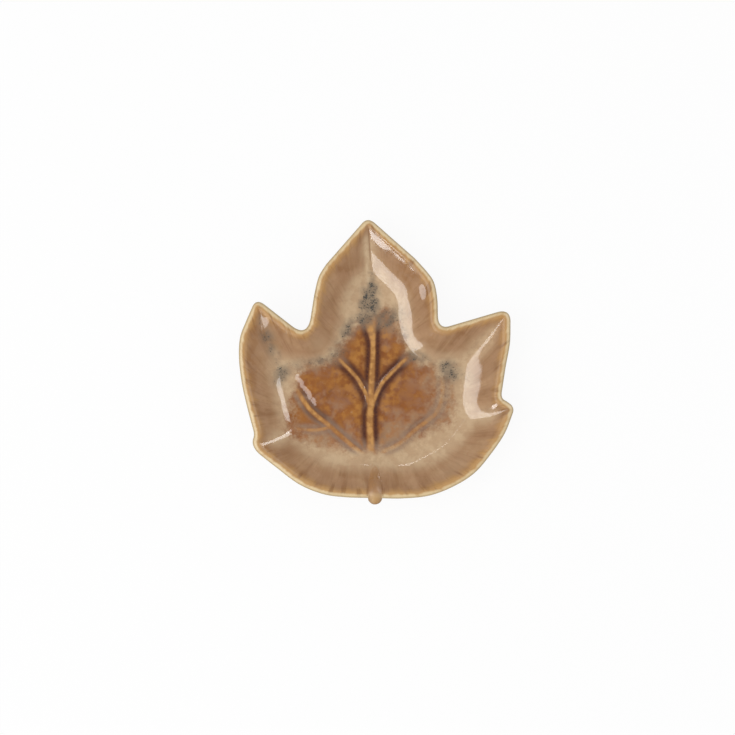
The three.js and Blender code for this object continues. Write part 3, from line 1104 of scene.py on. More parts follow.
@dataclass
class EffectGroups:
    """Glaze effects that several materials use, each built once.

    A noise is given by its scale, detail and roughness, and a mottle also by the range it is eased over.
    """

    mottles: tuple = (
        ("Cells", (340.0, 2.0, 0.5), (0.32, 0.7)),
        ("Clouds", (80.0, 3.0, 0.6), (0.36, 0.64)),
        ("Blots", (170.0, 3.0, 0.6), (0.36, 0.64)),
        ("Grain", (1100.0, 2.0, 0.6), (0.3, 0.7)),
    )
    fine_specks: tuple = (1350.0, 1.0, 0.5)
    coarse_specks: tuple = (420.0, 2.0, 0.6)
    fine_part: float = 0.55
    coarse_part: float = 0.45
    speck_level: float = 0.69
    speck_gain: float = 0.2
    speck_edge: tuple = (-0.03, 0.07)
    swell: tuple = (95.0, 1.0, 0.4)
    peel: tuple = (480.0, 1.0, 0.5)
    peel_part: float = 0.03

    def __post_init__(self) -> None:
        """Builds the groups."""
        self.mottle = self._mottle()
        self.specks = self._specks()
        self.ripple = self._ripple()

    @staticmethod
    def _start(name: str, inputs: dict[str, str], outputs: Sequence[str]) -> tuple:
        """Opens a group.

        Args:
            name: The group's name.
            inputs: Socket types of its inputs by name.
            outputs: Names of its value outputs.

        Returns:
            The tree, a sheet on it, the sockets that are given to it and those that it puts out.
        """
        tree = bpy.data.node_groups.new(name, "ShaderNodeTree")
        for label, kind in inputs.items():
            tree.interface.new_socket(label, in_out="INPUT", socket_type=kind)
        for label in outputs:
            tree.interface.new_socket(label, in_out="OUTPUT", socket_type="NodeSocketFloat")
        sheet = NodeSheet(tree)
        return tree, sheet, sheet.add("NodeGroupInput").outputs, sheet.add("NodeGroupOutput").inputs

    def _mottle(self) -> bpy.types.NodeTree:
        """Builds soft cells, clouds and grain, as where two glazes curdle.

        Returns:
            The group.
        """
        names = [name for name, _, _ in self.mottles]
        tree, s, given, out = self._start("glaze_mottle", {"Place": "NodeSocketVector"}, names)
        for name, noise, span in self.mottles:
            s.feed(out[name], s.ease(s.noise(given["Place"], *noise), *span))
        return tree

    def _specks(self) -> bpy.types.NodeTree:
        """Builds small dark specks, as many as a density asks for.

        Returns:
            The group.
        """
        tree, s, given, out = self._start(
            "glaze_specks", {"Place": "NodeSocketVector", "Density": "NodeSocketFloat"}, ["Specks"]
        )
        fine = s.times(s.noise(given["Place"], *self.fine_specks), self.fine_part)
        coarse = s.times(s.noise(given["Place"], *self.coarse_specks), self.coarse_part)
        edge = s.math("SUBTRACT", self.speck_level, s.times(given["Density"], self.speck_gain))
        over = s.math("SUBTRACT", s.math("ADD", fine, coarse), edge)
        s.feed(out["Specks"], s.ease(over, *self.speck_edge))
        return tree

    def _ripple(self) -> bpy.types.NodeTree:
        """Builds the slow swell and fine orange-peel of a glaze surface, as a height.

        Returns:
            The group.
        """
        tree, s, given, out = self._start("glaze_ripple", {"Place": "NodeSocketVector"}, ["Height"])
        swell = s.noise(given["Place"], *self.swell)
        peel = s.times(s.noise(given["Place"], *self.peel), self.peel_part)
        s.feed(out["Height"], s.math("ADD", swell, peel))
        return tree


@dataclass(frozen=True)
class LeafGlaze:
    """The reactive glaze of the dish: tan wall, cream lip, amber floor."""

    name: str = "leaf_glaze"
    tan: tuple = linear(178, 142, 105)
    brown: tuple = linear(140, 99, 62)
    rose: tuple = linear(176, 138, 104)
    streak: tuple = linear(124, 88, 56)
    beige: tuple = linear(209, 183, 148)
    rust: tuple = linear(146, 94, 42)
    rim_honey: tuple = linear(186, 142, 84)
    # Dark brown of the real spots on the lip, also used for the painted shade lines.
    spot_and_shade_brown: tuple = linear(112, 68, 28)
    cream: tuple = linear(220, 197, 155)
    rim_painted_shade: tuple = linear(158, 136, 98)
    amber: tuple = linear(150, 91, 34)
    amber_dark: tuple = linear(110, 57, 14)
    gold: tuple = linear(186, 128, 56)
    russet: tuple = linear(134, 78, 36)
    ginger: tuple = linear(164, 104, 52)
    pink_brown: tuple = linear(146, 101, 72)
    grey_brown: tuple = linear(156, 122, 91)
    honey: tuple = linear(198, 146, 82)
    maroon: tuple = linear(68, 28, 14)
    plum: tuple = linear(138, 112, 93)
    ash: tuple = linear(108, 97, 83)
    slate: tuple = linear(54, 57, 56)
    veil: tuple = linear(178, 148, 114)
    stem_brown: tuple = linear(168, 124, 80)
    roughness: float = 0.06
    worn_roughness: float = 0.5
    ior: float = 1.33
    swell: float = 0.00013
    shade_line_share: float = 0.6
    broad_runs: tuple = (120.0, 3.0, 0.6)
    fine_runs: tuple = (560.0, 2.0, 0.5)
    rim_waves: tuple = (210.0, 3.0, 0.6)
    rim_spots: tuple = (300.0, 2.0, 0.5)
    rim_wear: tuple = (240.0, 2.0, 0.6)
    amber_fray: tuple = (260.0, 4.0, 0.7)
    broken_marks: tuple = (420.0, 3.0, 0.7)
    patchy_marks: tuple = (130.0, 3.0, 0.6)

    def material(self, effects: EffectGroups) -> bpy.types.Material:
        """Makes the material.

        Args:
            effects: The shared glaze effects.

        Returns:
            A node material that reads the masks painted on the dish.
        """
        made, s = new_material(self.name)
        place = s.place()
        mottle = s.group(effects.mottle, Place=place).outputs
        color = self._wall(s, mottle)
        color = self._floor(s, color, place, mottle)
        color = self._veins(s, color, mottle)
        color = self._marks(s, color, place, effects)
        color = self._lip(s, color)
        # Painted shade: darkens the crown's crease, the stem's sides and the nub's steep edge.
        color = s.blend(s.times(s.mask(Mask.LINE), self.shade_line_share), color, self.spot_and_shade_brown)
        height = s.group(effects.ripple, Place=place).outputs["Height"]
        rough = s.ease(s.mask(Mask.WORN), 0.0, 1.0, (self.roughness, self.worn_roughness))
        s.surface(color, rough, self.ior, height, self.swell)
        return made

    def _wall(self, s: NodeSheet, mottle: Sockets) -> Socket:
        """Colours the wall with runs of glaze.

        Args:
            s: The material's sheet.
            mottle: The shared mottle.

        Returns:
            The wall's colour.
        """
        flow = s.painted(FLOW, "Vector")
        broad = s.ease(s.noise(flow, *self.broad_runs), 0.36, 0.68)
        fine = s.ease(s.noise(flow, *self.fine_runs), 0.48, 0.72)
        color = self.tan
        for layer, share, tint in (
            (broad, 0.8, self.brown), (mottle["Clouds"], 0.45, self.brown),
            (mottle["Blots"], 0.6, self.rose), (mottle["Cells"], 0.25, self.brown),
            (fine, 0.24, self.streak),
        ):
            color = s.blend(s.times(layer, share), color, tint)
        rust = s.times(s.mask(Mask.RUST), s.ease(mottle["Blots"], 0.1, 0.9, (0.9, 0.15)))
        color = s.blend(rust, color, self.rust)
        pale = s.times(s.mask(Mask.PALE), s.ease(mottle["Blots"], 0.0, 1.0, (1.0, 0.65)))
        return s.blend(pale, color, self.beige)

    def _lip(self, s: NodeSheet, wall: Socket) -> Socket:
        """Breaks the glaze to honey and cream over the lip, with a painted highlight on the nub and painted
        shade on the lip's outer edge.

        Args:
            s: The material's sheet.
            wall: The colour so far.

        Returns:
            The new colour.
        """
        inset = s.mask(Mask.INSET)
        flow = s.painted(FLOW, "Vector")
        wave = s.noise(flow, *self.rim_waves)
        edge = s.math("ADD", inset, s.times(wave, 7.0))
        color = s.blend(s.ease(edge, 9.4, 5.2, (0.0, 0.8)), wall, self.rim_honey)
        spots = s.ease(s.noise(flow, *self.rim_spots), 0.56, 0.7)
        spots = s.times(spots, s.ease(inset, 8.0, 3.0))
        color = s.blend(s.times(spots, 0.5), color, self.spot_and_shade_brown)
        wear = s.times(s.math("SUBTRACT", s.noise(flow, *self.rim_wear), 0.54), 1.6)
        wear = s.times(wear, s.ease(inset, 4.2, 2.4))
        bare = s.ease(s.math("ADD", s.mask(Mask.LIP), wear), 0.1, 1.0, (0.0, 0.88))
        color = s.blend(bare, color, self.cream)
        # Painted shade along the lip's outer edge, where it turns down.
        return s.blend(s.ease(inset, 1.1, 0.2, (0.0, 0.62)), color, self.rim_painted_shade)

    def _floor(self, s: NodeSheet, wall: Socket, place: Socket, mottle: Sockets) -> Socket:
        """Lays amber over the wall's colour.

        Args:
            s: The material's sheet.
            wall: The wall's colour.
            place: Place on the dish.
            mottle: The shared mottle.

        Returns:
            The new colour.
        """
        deep = s.mask(Mask.DEEP)
        rich = s.blend(mottle["Clouds"], self.amber, self.russet)
        rich = s.blend(s.times(mottle["Blots"], 0.75), rich, self.amber_dark)
        rich = s.blend(s.times(mottle["Cells"], 0.5), rich, self.gold)
        poor = s.blend(mottle["Clouds"], self.pink_brown, self.grey_brown)
        poor = s.blend(s.times(mottle["Cells"], 0.55), poor, self.ginger)
        middle = s.blend(mottle["Clouds"], self.russet, self.pink_brown)
        middle = s.blend(s.times(mottle["Cells"], 0.45), middle, self.amber)
        shift = s.times(s.math("SUBTRACT", mottle["Clouds"], 0.5), -0.65)
        shift = s.math("ADD", shift, s.times(s.math("SUBTRACT", mottle["Blots"], 0.5), -0.2))
        level = s.math("ADD", deep, shift)
        amber = s.blend(s.ease(level, 0.1, 0.6), poor, middle)
        amber = s.blend(s.ease(level, 0.35, 0.95), amber, rich)
        edge = s.math("SUBTRACT", s.noise(place, *self.amber_fray), 0.5)
        level = s.math("ADD", s.mask(Mask.AMBER), s.times(edge, 1.7))
        return s.blend(s.ease(level, 0.1, 0.9), wall, amber)

    def _veins(self, s: NodeSheet, floor: Socket, mottle: Sockets) -> Socket:
        """Lays dark grooves and honey crests over the floor.

        Args:
            s: The material's sheet.
            floor: The colour so far.
            mottle: The shared mottle.

        Returns:
            The new colour.
        """
        deep = s.mask(Mask.DEEP)
        near = s.ease(deep, 0.2, 0.6)
        shade = s.times(s.mask(Mask.SHADE), s.ease(mottle["Blots"], 0.0, 1.0, (0.7, 0.4)))
        color = s.blend(s.times(shade, near), floor, self.amber_dark)
        glow = s.times(s.mask(Mask.GLOW), s.ease(mottle["Cells"], 0.0, 1.0, (0.0, 0.5)))
        color = s.blend(s.times(glow, near), color, self.gold)
        dull = s.math("MAXIMUM", s.ease(deep, 0.6, 0.25), s.mask(Mask.GREY))
        groove = s.blend(dull, self.maroon, self.plum)
        share = s.times(s.mask(Mask.GROOVE), s.ease(mottle["Grain"], 0.0, 1.0, (1.0, 0.8)))
        color = s.blend(share, color, groove)
        crest = s.times(s.mask(Mask.CREST), s.ease(mottle["Cells"], 0.0, 1.0, (0.45, 0.95)))
        crest = s.times(crest, s.ease(deep, 0.05, 0.5, (0.5, 1.0)))
        return s.blend(crest, color, self.honey)

    def _marks(self, s: NodeSheet, color: Socket, place: Socket, effects: EffectGroups) -> Socket:
        """Lays the grey veil, the dark specks and the stem's own brown over the colour.

        Args:
            s: The material's sheet.
            color: The colour so far.
            place: Place on the dish.
            effects: The shared glaze effects.

        Returns:
            The new colour.
        """
        broken = s.ease(s.noise(place, *self.broken_marks), 0.35, 0.7)
        color = s.blend(s.times(s.mask(Mask.VEIL), broken), color, self.veil)
        patchy = s.ease(s.noise(place, *self.patchy_marks), 0.34, 0.62, (0.55, 1.2))
        density = s.times(s.mask(Mask.SPECKLE), patchy)
        cast = s.ease(density, 0.05, 0.72, (0.0, 0.86))
        cast = s.times(cast, s.ease(broken, 0.0, 1.0, (0.8, 1.0)))
        color = s.blend(cast, color, self.ash)
        specks = s.group(effects.specks, Place=place, Density=density).outputs["Specks"]
        share = s.times(specks, s.ease(density, 0.0, 0.5, (0.0, 0.88)))
        color = s.blend(share, color, self.slate)
        stem = s.times(s.mask(Mask.STEM), s.ease(broken, 0.0, 1.0, (0.2, 0.6)))
        return s.blend(stem, color, self.stem_brown)


@dataclass(frozen=True)
class BaseGlaze:
    """The plain tan glaze inside the foot ring."""

    name: str = "base_glaze"
    tan: tuple = linear(168, 134, 100)
    brown: tuple = linear(140, 104, 74)
    roughness: float = 0.1
    ior: float = 1.55
    swell: float = 0.0002
    cell_share: float = 0.2

    def material(self, effects: EffectGroups) -> bpy.types.Material:
        """Makes the material from the shared glaze effects.

        Args:
            effects: The shared glaze effects.

        Returns:
            A node material.
        """
        made, s = new_material(self.name)
        place = s.place()
        mottle = s.group(effects.mottle, Place=place).outputs
        color = s.blend(mottle["Clouds"], self.tan, self.brown)
        color = s.blend(s.times(mottle["Cells"], self.cell_share), color, self.brown)
        height = s.group(effects.ripple, Place=place).outputs["Height"]
        s.surface(color, self.roughness, self.ior, height, self.swell)
        return made


@dataclass(frozen=True)
class BareClay:
    """Bare fired stoneware, matt and a little gritty."""

    name: str = "bare_clay"
    clay: tuple = linear(208, 186, 154)
    toasted: tuple = linear(184, 152, 116)
    iron: tuple = linear(104, 78, 58)
    roughness: float = 0.85
    ior: float = 1.45
    grit: float = 0.0001
    grains: tuple = (1800.0, 3.0, 0.7)
    speck_density: tuple = (0.1, 0.35)

    def material(self, effects: EffectGroups) -> bpy.types.Material:
        """Makes the material from the shared glaze effects and a grit of its own.

        Args:
            effects: The shared glaze effects.

        Returns:
            A node material.
        """
        made, s = new_material(self.name)
        place = s.place()
        mottle = s.group(effects.mottle, Place=place).outputs
        color = s.blend(mottle["Clouds"], self.clay, self.toasted)
        density = s.ease(mottle["Blots"], 0.0, 1.0, self.speck_density)
        specks = s.group(effects.specks, Place=place, Density=density).outputs["Specks"]
        color = s.blend(specks, color, self.iron)
        s.surface(color, self.roughness, self.ior, s.noise(place, *self.grains), self.grit)
        return made


class RingPiece:
    """A closed piece made of rings, from one pole to the other."""

    def __init__(self, name: str, rings: Sequence[Array]) -> None:
        """Wraps a grid into the rings and closes it.

        Args:
            name: The piece's name.
            rings: Points of each ring in millimetres, the first and the last all in one place.
        """
        table = np.stack(rings)
        count, around = table.shape[:2]
        bpy.ops.object.select_all(action="DESELECT")
        bpy.ops.mesh.primitive_grid_add(x_subdivisions=around, y_subdivisions=count - 1, size=2.0)
        self.object = bpy.context.object
        self.object.name = name
        self.object.data.name = name
        flat = self.read() * MM
        line = np.rint((flat[:, 0] + 1.0) / 2.0 * around).astype(int) % around
        ring = np.rint((flat[:, 1] + 1.0) / 2.0 * (count - 1)).astype(int)
        self.write(table[ring, line])
        self.paint("ring", ring.astype(float))
        self.paint("line", line.astype(float))
        self._close()
        self.ring = np.rint(self.painted("ring")).astype(int)
        self.line = np.rint(self.painted("line")).astype(int)

    def _close(self) -> None:
        """Merges the seam and the poles, and turns the faces outwards."""
        self._choose()
        bpy.ops.object.mode_set(mode="EDIT")
        bpy.ops.mesh.select_all(action="SELECT")
        bpy.ops.mesh.remove_doubles(threshold=MERGE_DISTANCE)
        bpy.ops.mesh.normals_make_consistent(inside=False)
        bpy.ops.object.mode_set(mode="OBJECT")
        bpy.ops.object.shade_smooth()

    def _choose(self) -> None:
        """Selects the piece alone."""
        bpy.ops.object.select_all(action="DESELECT")
        self.object.select_set(True)
        bpy.context.view_layer.objects.active = self.object

    def read(self) -> Array:
        """Gives the piece's points in millimetres.

        Returns:
            One row for each point.
        """
        mesh = self.object.data
        flat = np.empty(len(mesh.vertices) * 3)
        mesh.vertices.foreach_get("co", flat)
        return flat.reshape(-1, 3) / MM

    def normals(self) -> Array:
        """Gives the outward normals at the piece's points.

        Returns:
            One row for each point.
        """
        mesh = self.object.data
        flat = np.empty(len(mesh.vertices) * 3, np.float32)
        mesh.vertex_normals.foreach_get("vector", flat)
        return flat.reshape(-1, 3).astype(float)

    def write(self, points: Array) -> None:
        """Moves the piece's points, given in millimetres."""
        self.object.data.vertices.foreach_set("co", (points * MM).ravel())
        self.object.data.update()

    def paint(self, name: str, values: Array) -> None:
        """Keeps a number, or three, for each point of the mesh.

        Args:
            name: What the numbers are kept under.
            values: The numbers.
        """
        many = values.ndim > 1
        layer = self.object.data.attributes.new(name, "FLOAT_VECTOR" if many else "FLOAT", "POINT")
        layer.data.foreach_set("vector" if many else "value", values.astype(np.float32).ravel())

    def painted(self, name: str) -> Array:
        """Takes a painted number off the mesh again.

        Args:
            name: What the numbers are kept under.

        Returns:
            The numbers.
        """
        layer = self.object.data.attributes[name]
        values = np.empty(len(layer.data), np.float32)
        layer.data.foreach_get("value", values)
        self.object.data.attributes.remove(layer)
        return values

    def soften(self, weights: Array, rounds: int) -> None:
        """Smooths the piece where it is weighted.

        Args:
            weights: How much each point gives way, 0 to 1.
            rounds: Times that the smoothing is repeated.
        """
        group = self.object.vertex_groups.new(name="soft")
        steps = np.round(weights, 2)
        for level in np.unique(steps[steps > 0.0]):
            group.add(np.nonzero(steps == level)[0].tolist(), float(level), "REPLACE")
        smooth = self.object.modifiers.new("soften", "SMOOTH")
        smooth.iterations = rounds
        smooth.factor = 0.5
        smooth.vertex_group = group.name
        self._choose()
        bpy.ops.object.modifier_apply(modifier=smooth.name)
        self.object.vertex_groups.clear()

    def hand_over(self, slot: Slot, material: bpy.types.Material, *nodes: str) -> None:
        """Dresses the piece and puts it in the place of CAD nodes.

        Args:
            slot: The material slot it would fill; not used.
            material: Its finish.
            nodes: The nodes it replaces.
        """
        self.object.data.materials.append(material)
        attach(self.object, BODY)
        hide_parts(*nodes)
        self.object.data.calc_loop_triangles()
        LOG.info("%s: %d triangles", self.object.name, len(self.object.data.loop_triangles))


def lifted(plan: Array, height: float) -> Array:
    """Lifts a ring in plan to a height."""
    return np.column_stack([plan, np.full(len(plan), height)])


@dataclass
class GlazeCoat:
    """The glaze over the whole dish, from the floor over the lip to the bare foot."""

    plan: LeafPlan
    section: DishSection
    veins: Veins = field(default_factory=Veins)
    stem: Stem = field(default_factory=Stem)
    floor_rings: int = 60
    floor_crowding: float = 0.85
    wall_rings: int = 36
    lip_rings: int = 18
    outside_rings: int = 12
    soft_rounds: int = 70
    soft_from: tuple = (2.8, 9.0)
    soft_until: tuple = (26.0, 32.0)
    sharpness: float = 0.97
    floor_fade: tuple = (-5.0, 0.0)
    stem_inset: float = 5.0
    stem_gain: float = 3.0
    stem_side: tuple = (0.8, 1.0)
    stem_worn: tuple = (7.0, 10.0)
    nub_span: tuple = (62.0, 65.0)
    # Painted shade on the nub's steep sides and at its edges.
    nub_steep: tuple = (0.9, 0.4)
    nub_side: tuple = (0.6, 1.0)
    nub_dark: float = 0.7
    # Painted highlight: cream on the nub's top.
    nub_highlight: float = 0.4
    top_span: tuple = (16.5, 18.4)
    lip_span: tuple = (1.0, 3.0)
    worn_span: tuple = (3.4, 4.2)
    amber_fade: tuple = (-4.5, 5.0)
    crease_width: float = 0.35
    crease_from: tuple = (3.0, 5.0)
    crease_until: tuple = (13.0, 17.0)
    # Painted shade along the stem's sides, where it meets the wall.
    stem_shade_place: float = 1.02
    stem_shade_width: float = 0.1
    stem_shade_until: tuple = (4.0, 9.0)
    stem_shade_inset: float = 0.8
    valley_width: float = 4.5
    valley_from: tuple = (3.0, 9.0)
    valley_pale: float = 0.7
    foot_from: tuple = (10.0, 18.0)
    foot_pale: float = 0.75
    streak_place: float = 1.6
    streak_width: float = 2.0
    streak_from: tuple = (3.0, 8.0)
    speckle_spread: float = 0.75
    shoulder_fall: float = 1.28
    creased: int = 2
    sharp: tuple = (Patch(-3.6, 57.0, 9.0, 14.0),)
    bulges: tuple = (
        Patch(20.6, 33.2, 3.4, 4.5, 0.0, 0.75), Patch(11.0, 48.0, 9.0, 5.0, -41.4, 0.2),
    )
    tucks: tuple = (
        Patch(20.6, 3.4, 8.0, 7.0, -42.0, 1.0), Patch(27.0, 11.5, 6.5, 7.0, 47.0, 1.0),
        Patch(-48.5, 13.5, 9.0, 6.0, 142.0, 1.0),
    )
    shoulders: tuple = ((3, Patch(-55.5, 15.5, 3.5, 5.0, 0.0, 1.8)),)
    amber_edge: tuple = (
        (-13.9, 12.8), (-12.5, 18.2), (-7.1, 21.0), (-1.5, 23.0), (4.5, 28.0), (8.5, 24.5),
        (12.5, 14.8), (15.0, 6.9),
        (17.4, 2.5), (22.3, 0.1), (29.2, -0.4), (31.1, -6.8), (37.0, -7.8), (39.0, -18.5), (37.0, -29.3),
        (28.2, -34.2), (16.4, -39.1), (8.6, -42.6), (-0.2, -45.0), (-8.1, -44.0), (-16.9, -42.1),
        (-26.7, -42.3), (-35.5, -39.6), (-43.3, -37.2), (-45.3, -29.3), (-44.3, -20.5), (-40.4, -13.6),
        (-39.4, -6.8), (-35.5, -1.4), (-26.7, 0.1), (-20.3, 2.0), (-19.3, 7.9),
    )
    rusts: tuple = (
        Patch(-60.0, 22.0, 6.0, 9.0, 20.0, 1.0), Patch(62.0, 20.0, 4.0, 8.0, 0.0, 0.7),
        Patch(-55.0, -40.0, 8.0, 4.0, -40.0, 0.8), Patch(-22.0, 50.0, 5.0, 9.0, -40.0, 0.7),
        Patch(24.0, 40.0, 4.0, 8.0, 20.0, 0.6), Patch(-62.0, -6.0, 4.0, 14.0, 0.0, 0.6),
        Patch(-45.0, 19.0, 9.0, 4.0, 142.0, 0.8), Patch(-34.0, 10.0, 6.0, 4.0, 0.0, 0.35),
        Patch(-40.0, -55.0, 13.0, 4.0, -33.0, 0.55), Patch(45.0, -53.0, 14.0, 4.0, 42.0, 0.45),
        Patch(12.0, 56.0, 10.0, 3.5, -41.0, 0.5), Patch(27.5, 27.0, 3.5, 9.0, 0.0, 0.5),
        Patch(-30.0, 26.0, 3.0, 12.0, 8.0, 0.35), Patch(48.0, 18.0, 12.0, 3.5, 16.0, 0.5),
        Patch(15.0, 42.0, 5.0, 11.0, 25.0, 0.4), Patch(-59.0, 8.0, 5.0, 8.0, 10.0, 0.5),
    )
    speckles: tuple = (
        Patch(-2.2, 36.0, 2.6, 7.0, 0.0, 0.9), Patch(-3.2, 28.5, 4.8, 8.0, 0.0, 0.95),
        Patch(-6.0, 22.0, 5.0, 4.0, 30.0, 0.7), Patch(5.5, 21.5, 7.0, 4.5, 20.0, 0.65),
        Patch(-46.5, -6.5, 4.5, 5.5, -30.0, 0.5), Patch(36.5, -4.5, 7.0, 4.5, -12.0, 0.8),
        Patch(-19.5, 4.5, 6.0, 4.0, 20.0, 0.35), Patch(20.0, 2.5, 6.0, 3.5, -25.0, 0.5),
        Patch(-14.0, 15.0, 4.0, 10.0, -30.0, 0.45), Patch(-52.5, 10.0, 3.0, 14.0, 22.0, 0.5),
        Patch(12.0, 14.0, 3.5, 7.0, 25.0, 0.4), Patch(-30.0, -0.5, 12.0, 4.0, 8.0, 0.4),
    )
    deep_amber: tuple = (
        Patch(-1.2, 3.0, 15.0, 16.0, 0.0, 1.0), Patch(11.5, -15.0, 15.0, 15.0, 0.0, 1.0),
        Patch(-15.9, -15.0, 13.0, 16.0, 0.0, 1.0), Patch(-2.0, -30.0, 9.0, 12.0, 0.0, 0.9),
        Patch(-30.0, -24.0, 12.0, 7.0, -40.0, 0.55), Patch(20.0, -30.0, 10.0, 5.0, 40.0, 0.45),
        Patch(-33.0, -9.0, 9.0, 9.0, 0.0, 0.85), Patch(28.0, -12.0, 8.0, 10.0, 0.0, 0.25),
        Patch(-38.0, -26.0, 8.0, 10.0, 0.0, 0.4),
    )
    pales: tuple = (
        Patch(55.0, -4.0, 7.0, 12.0, 0.0, 0.12), Patch(40.0, -50.0, 12.0, 6.0, 40.0, 0.25),
        Patch(-50.1, 0.1, 4.0, 9.0, 0.0, 0.75), Patch(-28.6, 8.9, 6.0, 5.0, 0.0, 0.3),
    )
    glossy_tip: Patch = Patch(4.0, 55.0, 12.0, 8.0, -41.0, 0.9)
    bare_valley: Patch = Patch(-55.0, 13.0, 5.0, 9.0, 15.0, 1.0)
    veils: tuple = (
        Patch(-30.0, -38.5, 13.0, 5.0, -25.0, 0.7), Patch(22.0, -38.0, 16.0, 6.0, 30.0, 0.85),
        Patch(-2.0, -48.0, 8.0, 6.0, 0.0, 0.9), Patch(34.0, -14.0, 7.0, 14.0, 0.0, 0.85),
        Patch(-3.0, 26.0, 11.0, 7.0, 0.0, 0.4), Patch(-31.0, 1.0, 12.0, 4.0, 10.0, 0.15),
        Patch(-42.0, -22.0, 4.0, 12.0, 0.0, 0.7), Patch(25.0, 2.0, 10.0, 4.0, -20.0, 0.6),
    )

    def build(self) -> RingPiece:
        """Models the coat, softens its valleys, raises veins and stem, and paints its masks.

        Returns:
            The coat.
        """
        piece = RingPiece("glaze_coat", self._rings())
        outer = piece.ring < self.outer_count
        upper = piece.ring < self.upper_count
        points = piece.read()
        inset = self.plan.inset(points[:, :2])
        soft = smoothstep(inset, *self.soft_from) * (1 - smoothstep(inset, *self.soft_until)) * outer
        kept = self.sharpness * patches_at(self.sharp, points[:, :2])
        piece.soften(soft * (1 - kept), self.soft_rounds)
        points = piece.read()
        margin = inset - self.section.floor_inset
        height, vein_masks = self.veins.relief(points[:, :2], margin)
        on_floor = upper * smoothstep(margin, *self.floor_fade)
        bulge = np.sum([patch.at(points[:, :2]) for patch in self.bulges], axis=0)
        tuck = patches_at(self.tucks, points[:, :2]) * self.section.slack(inset)
        shift = bulge - tuck + self._shoulder(points[:, :2])
        points[:, 2] += height * on_floor + shift * upper
        piece.write(points)
        grows = upper | (outer & (inset < self.stem_inset))
        points = self.stem.grow(points, piece.normals() * grows[:, None], self.section)
        piece.write(points)
        vein_masks = {mask: share * on_floor for mask, share in vein_masks.items()}
        self._paint(piece, points, inset, vein_masks)
        return piece

    def dress(self, piece: RingPiece, effects: EffectGroups) -> None:
        """Gives the coat its glaze and its place."""
        piece.hand_over(Slot.TAN_GLAZE, LeafGlaze().material(effects), "wall_glaze", "floor_glaze")

    def _shoulder(self, plan: Array) -> Array:
        """Gives how far the wall on the right of a valley bulges, and the valley moves with it.

        Args:
            plan: Points in plan.

        Returns:
            One height for each point.
        """
        height = np.zeros(len(plan))
        for valley, patch in self.shoulders:
            reach, _, side = distance_to_line(plan, self.plan.valleys[valley])
            bulge = patch.at(plan)
            height += np.where(side < 0, bulge, np.maximum(bulge - self.shoulder_fall * reach, 0.0))
        return height

    def _rings(self) -> list[Array]:
        """Lists the rings from the heart over the lip to the foot and back inside to the heart.

        Returns:
            Points of each ring.
        """
        s, p = self.section, self.plan
        glaze = s.glaze
        shares = np.linspace(0.0, 1.0, self.floor_rings, endpoint=False) ** self.floor_crowding
        rings = [lifted(p.floor_ring(share), s.floor_height + glaze) for share in shares]
        lip, crest = s.lip(self.lip_rings, glaze), self.lip_rings // 2
        upper = [*s.wall_curve(self.wall_rings, glaze), *lip[1:crest]]
        lower = [*lip[crest:-1], *s.outside(self.outside_rings, glaze)]
        foot = s.foot_side(s.bare_foot)
        lower += [
            (s.floor_inset + 0.9, s.base + 0.35), (s.foot_side(s.base) - 0.45, s.base - 0.35),
            (foot - 0.5, s.bare_foot + 0.45), (foot - 0.32, s.bare_foot + 0.12), (foot - 0.1, s.bare_foot),
        ]
        inner = [
            (foot + 0.15, s.bare_foot), (s.foot_side(s.base), s.base), *s.outside(5, s.seam)[::-1],
            *s.lip(6, s.seam)[::-1][1:-1], *s.wall_curve(7, s.seam)[::-1][:-2],
        ]
        rings += [lifted(p.ring(inset), z) for inset, z in [*upper, *lower, *inner]]
        rings += [lifted(p.floor_ring(share), s.floor_clay) for share in (0.97, 0.5, 0.0)]
        self.upper_count = self.floor_rings + len(upper)
        self.outer_count = self.upper_count + len(lower)
        return rings

    def _paint(self, piece: RingPiece, points: Array, inset: Array, masks: dict) -> None:
        """Paints the masks that the glaze reads.

        Args:
            piece: The coat.
            points: Its points.
            inset: Their insets from the rim.
            masks: Masks that are worked out already.
        """
        plan = points[:, :2]
        upper = piece.ring < self.upper_count
        across = self.stem.across(points, inset)
        on_stem = 1 - smoothstep(across, *self.stem_side)
        top = smoothstep(points[:, 2], *self.top_span) * (1 - on_stem)
        worn = (1 - smoothstep(inset, *self.worn_span)) * top * (1 - self.glossy_tip.at(plan))
        nub = on_stem * smoothstep(-points[:, 1], *self.nub_span)
        lip = (1 - smoothstep(inset, *self.lip_span)) * top
        # Painted shade: darkens the nub where its surface turns steep and at its sides.
        steep = smoothstep(piece.normals()[:, 2], *self.nub_steep)
        nub_shade = self.nub_dark * nub * np.maximum(steep, smoothstep(across, *self.nub_side))
        lines = np.maximum(self._lines(plan, inset, across), nub_shade)
        amber = smoothstep(depth_inside(plan, self.amber_edge), *self.amber_fade)
        speckle = patches_at(self.speckles, plan) ** self.speckle_spread
        painted = {
            **masks,
            Mask.INSET: inset + self.stem_gain * on_stem,
            # The lip's cream, and a painted highlight in cream on the nub past the rim.
            Mask.LIP: lip + self.nub_highlight * nub,
            Mask.WORN: np.maximum(worn, on_stem * (1 - smoothstep(inset, *self.stem_worn))),
            Mask.AMBER: amber * upper,
            Mask.PALE: self._pale(plan, inset) * upper,
            Mask.STEM: on_stem,
            Mask.LINE: lines,
            Mask.DEEP: patches_at(self.deep_amber, plan),
            Mask.SPECKLE: speckle * upper,
            Mask.VEIL: patches_at(self.veils, plan) * upper,
            Mask.RUST: patches_at(self.rusts, plan),
        }
        for mask, values in painted.items():
            piece.paint(mask.value, values)
        piece.paint(FLOW, self.plan.flow(piece.line, inset))

